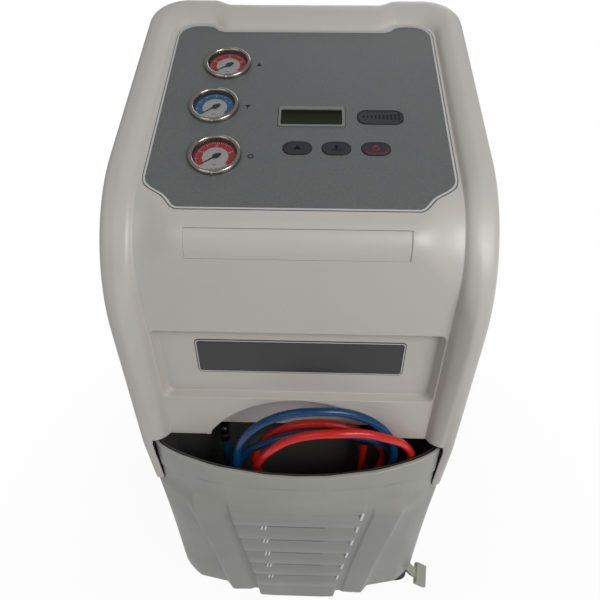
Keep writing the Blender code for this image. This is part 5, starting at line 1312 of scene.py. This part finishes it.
PEDAL_BAR = [(0.0790, 0.0370), (0.1020, 0.0300), (0.1060, 0.0360), (0.1050, 0.0400), (0.0850, 0.0470),
             (0.0800, 0.0430)]
CASTER_SPOT = (0.180, -0.1790)
CASTER_TRAIL = 0.024
CASTER_RADIUS = 0.0375
upright = Matrix(((1, 0, 0, 0), (0, 0, -1, 0), (0, 1, 0, 0), (0, 0, 0, 1)))
for side, name, yaw in ((-1, "left", 0.0), (1, "right", -13.0)):
    caster_zinc.on(f"caster_plate_{name}", f"caster_fork_{name}")
    swivel = (Matrix.Translation((side * CASTER_SPOT[0], CASTER_SPOT[1], 0))
              @ Matrix.Rotation(math.radians(yaw), 4, "Z"))
    pedal_place = swivel @ upright
    arm = prism(PEDAL_ARM, -0.0110, 0.0110, pedal_place)
    pedal = new_piece(f"pedal_{name}", arm, f"caster_brake_{name}", smooth=False)
    carve(pedal, [("UNION", prism(PEDAL_BAR, -0.0225, 0.0225, pedal_place)),
                  ("DIFFERENCE", prism(circle(0.0028, 16, 0.038, 0.0775), -0.030, 0.030, pedal_place))],
          0.0014, 3)
    dressed(pedal, pedal_plastic, f"caster_brake_{name}")
    place = swivel @ Matrix.Translation((CASTER_TRAIL, 0, CASTER_RADIUS)) @ facing((0, 1, 0))
    wheel = f"caster_wheel_{name}"
    tread = new_piece(f"caster_tread_{name}", turned("tread", TREAD, steps=64, ring=True), wheel, place)
    core = new_piece(f"caster_core_{name}", turned("core", CORE, steps=48, ring=True), wheel, place)
    dressed(tread, tyre_rubber, f"caster_wheel_{name}")
    dressed(core, hub_dark)

# Floor and light.
# A plain white floor under soft studio lamps: the key lamp stands at the upper right, with a weak fill at
# the left and a pale sky all round. Far from the station the floor is as white as the sky.
bpy.ops.mesh.primitive_plane_add(size=60, location=(0, 0, 0))
floor = bpy.context.object
floor.name = "studio_floor"
ground = Finish("studio_floor", (0.50, 0.50, 0.50), Roughness=0.9)
seen = ground.node("LightPath", out="Is Camera Ray")
mirrored = ground.node("LightPath", out="Is Glossy Ray")
reach = ground.node("VectorMath", {"operation": "LENGTH"}, {0: ground.place}, out=1).rise(0.40, 1.1)
glow = ground.node("Emission", {}, {"Color": (1, 1, 1, 1), "Strength": 1.0})
share = (seen + mirrored) * (0.955 + reach * 0.045)
veil = ground.node("MixShader", {}, {0: share, 1: Wire(ground, ground.shader.outputs[0]), 2: glow})
ground.tree.links.new(veil.socket, ground.tree.nodes["Material Output"].inputs["Surface"])
ground.on(floor)
world = bpy.data.worlds.new("pale_sky")
scene.world = world
world.use_nodes = True
sky = world.node_tree
backdrop = sky.nodes["Background"]
path = sky.nodes.new("ShaderNodeLightPath")
either = sky.nodes.new("ShaderNodeMath")
either.operation = "MAXIMUM"
sky.links.new(path.outputs["Is Camera Ray"], either.inputs[0])
sky.links.new(path.outputs["Is Transmission Ray"], either.inputs[1])
strength = sky.nodes.new("ShaderNodeMapRange")
sky.links.new(either.outputs[0], strength.inputs["Value"])
strength.inputs["To Min"].default_value = 0.33
strength.inputs["To Max"].default_value = 1.0
sky.links.new(strength.outputs["Result"], backdrop.inputs["Strength"])
backdrop.inputs["Color"].default_value = (1, 1, 1, 1)
for name, spot, target, size, power in (("key_lamp", (1.40, -1.80, 2.15), (0, -0.1, 0.85), 1.2, 43),
                                        ("fill_lamp", (-1.3, -1.6, 2.4), (0, -0.1, 0.7), 1.2, 7),
                                        ("rear_lamp", (0.4, 2.6, 2.4), (0, 0.1, 0.7), 1.8, 18)):
    lamp = bpy.data.lights.new(name, "AREA")
    lamp.size = size
    lamp.energy = power
    holder = bpy.data.objects.new(name, lamp)
    scene.collection.objects.link(holder)
    holder.matrix_world = Matrix.Translation(spot) @ facing(Vector(spot) - Vector(target))
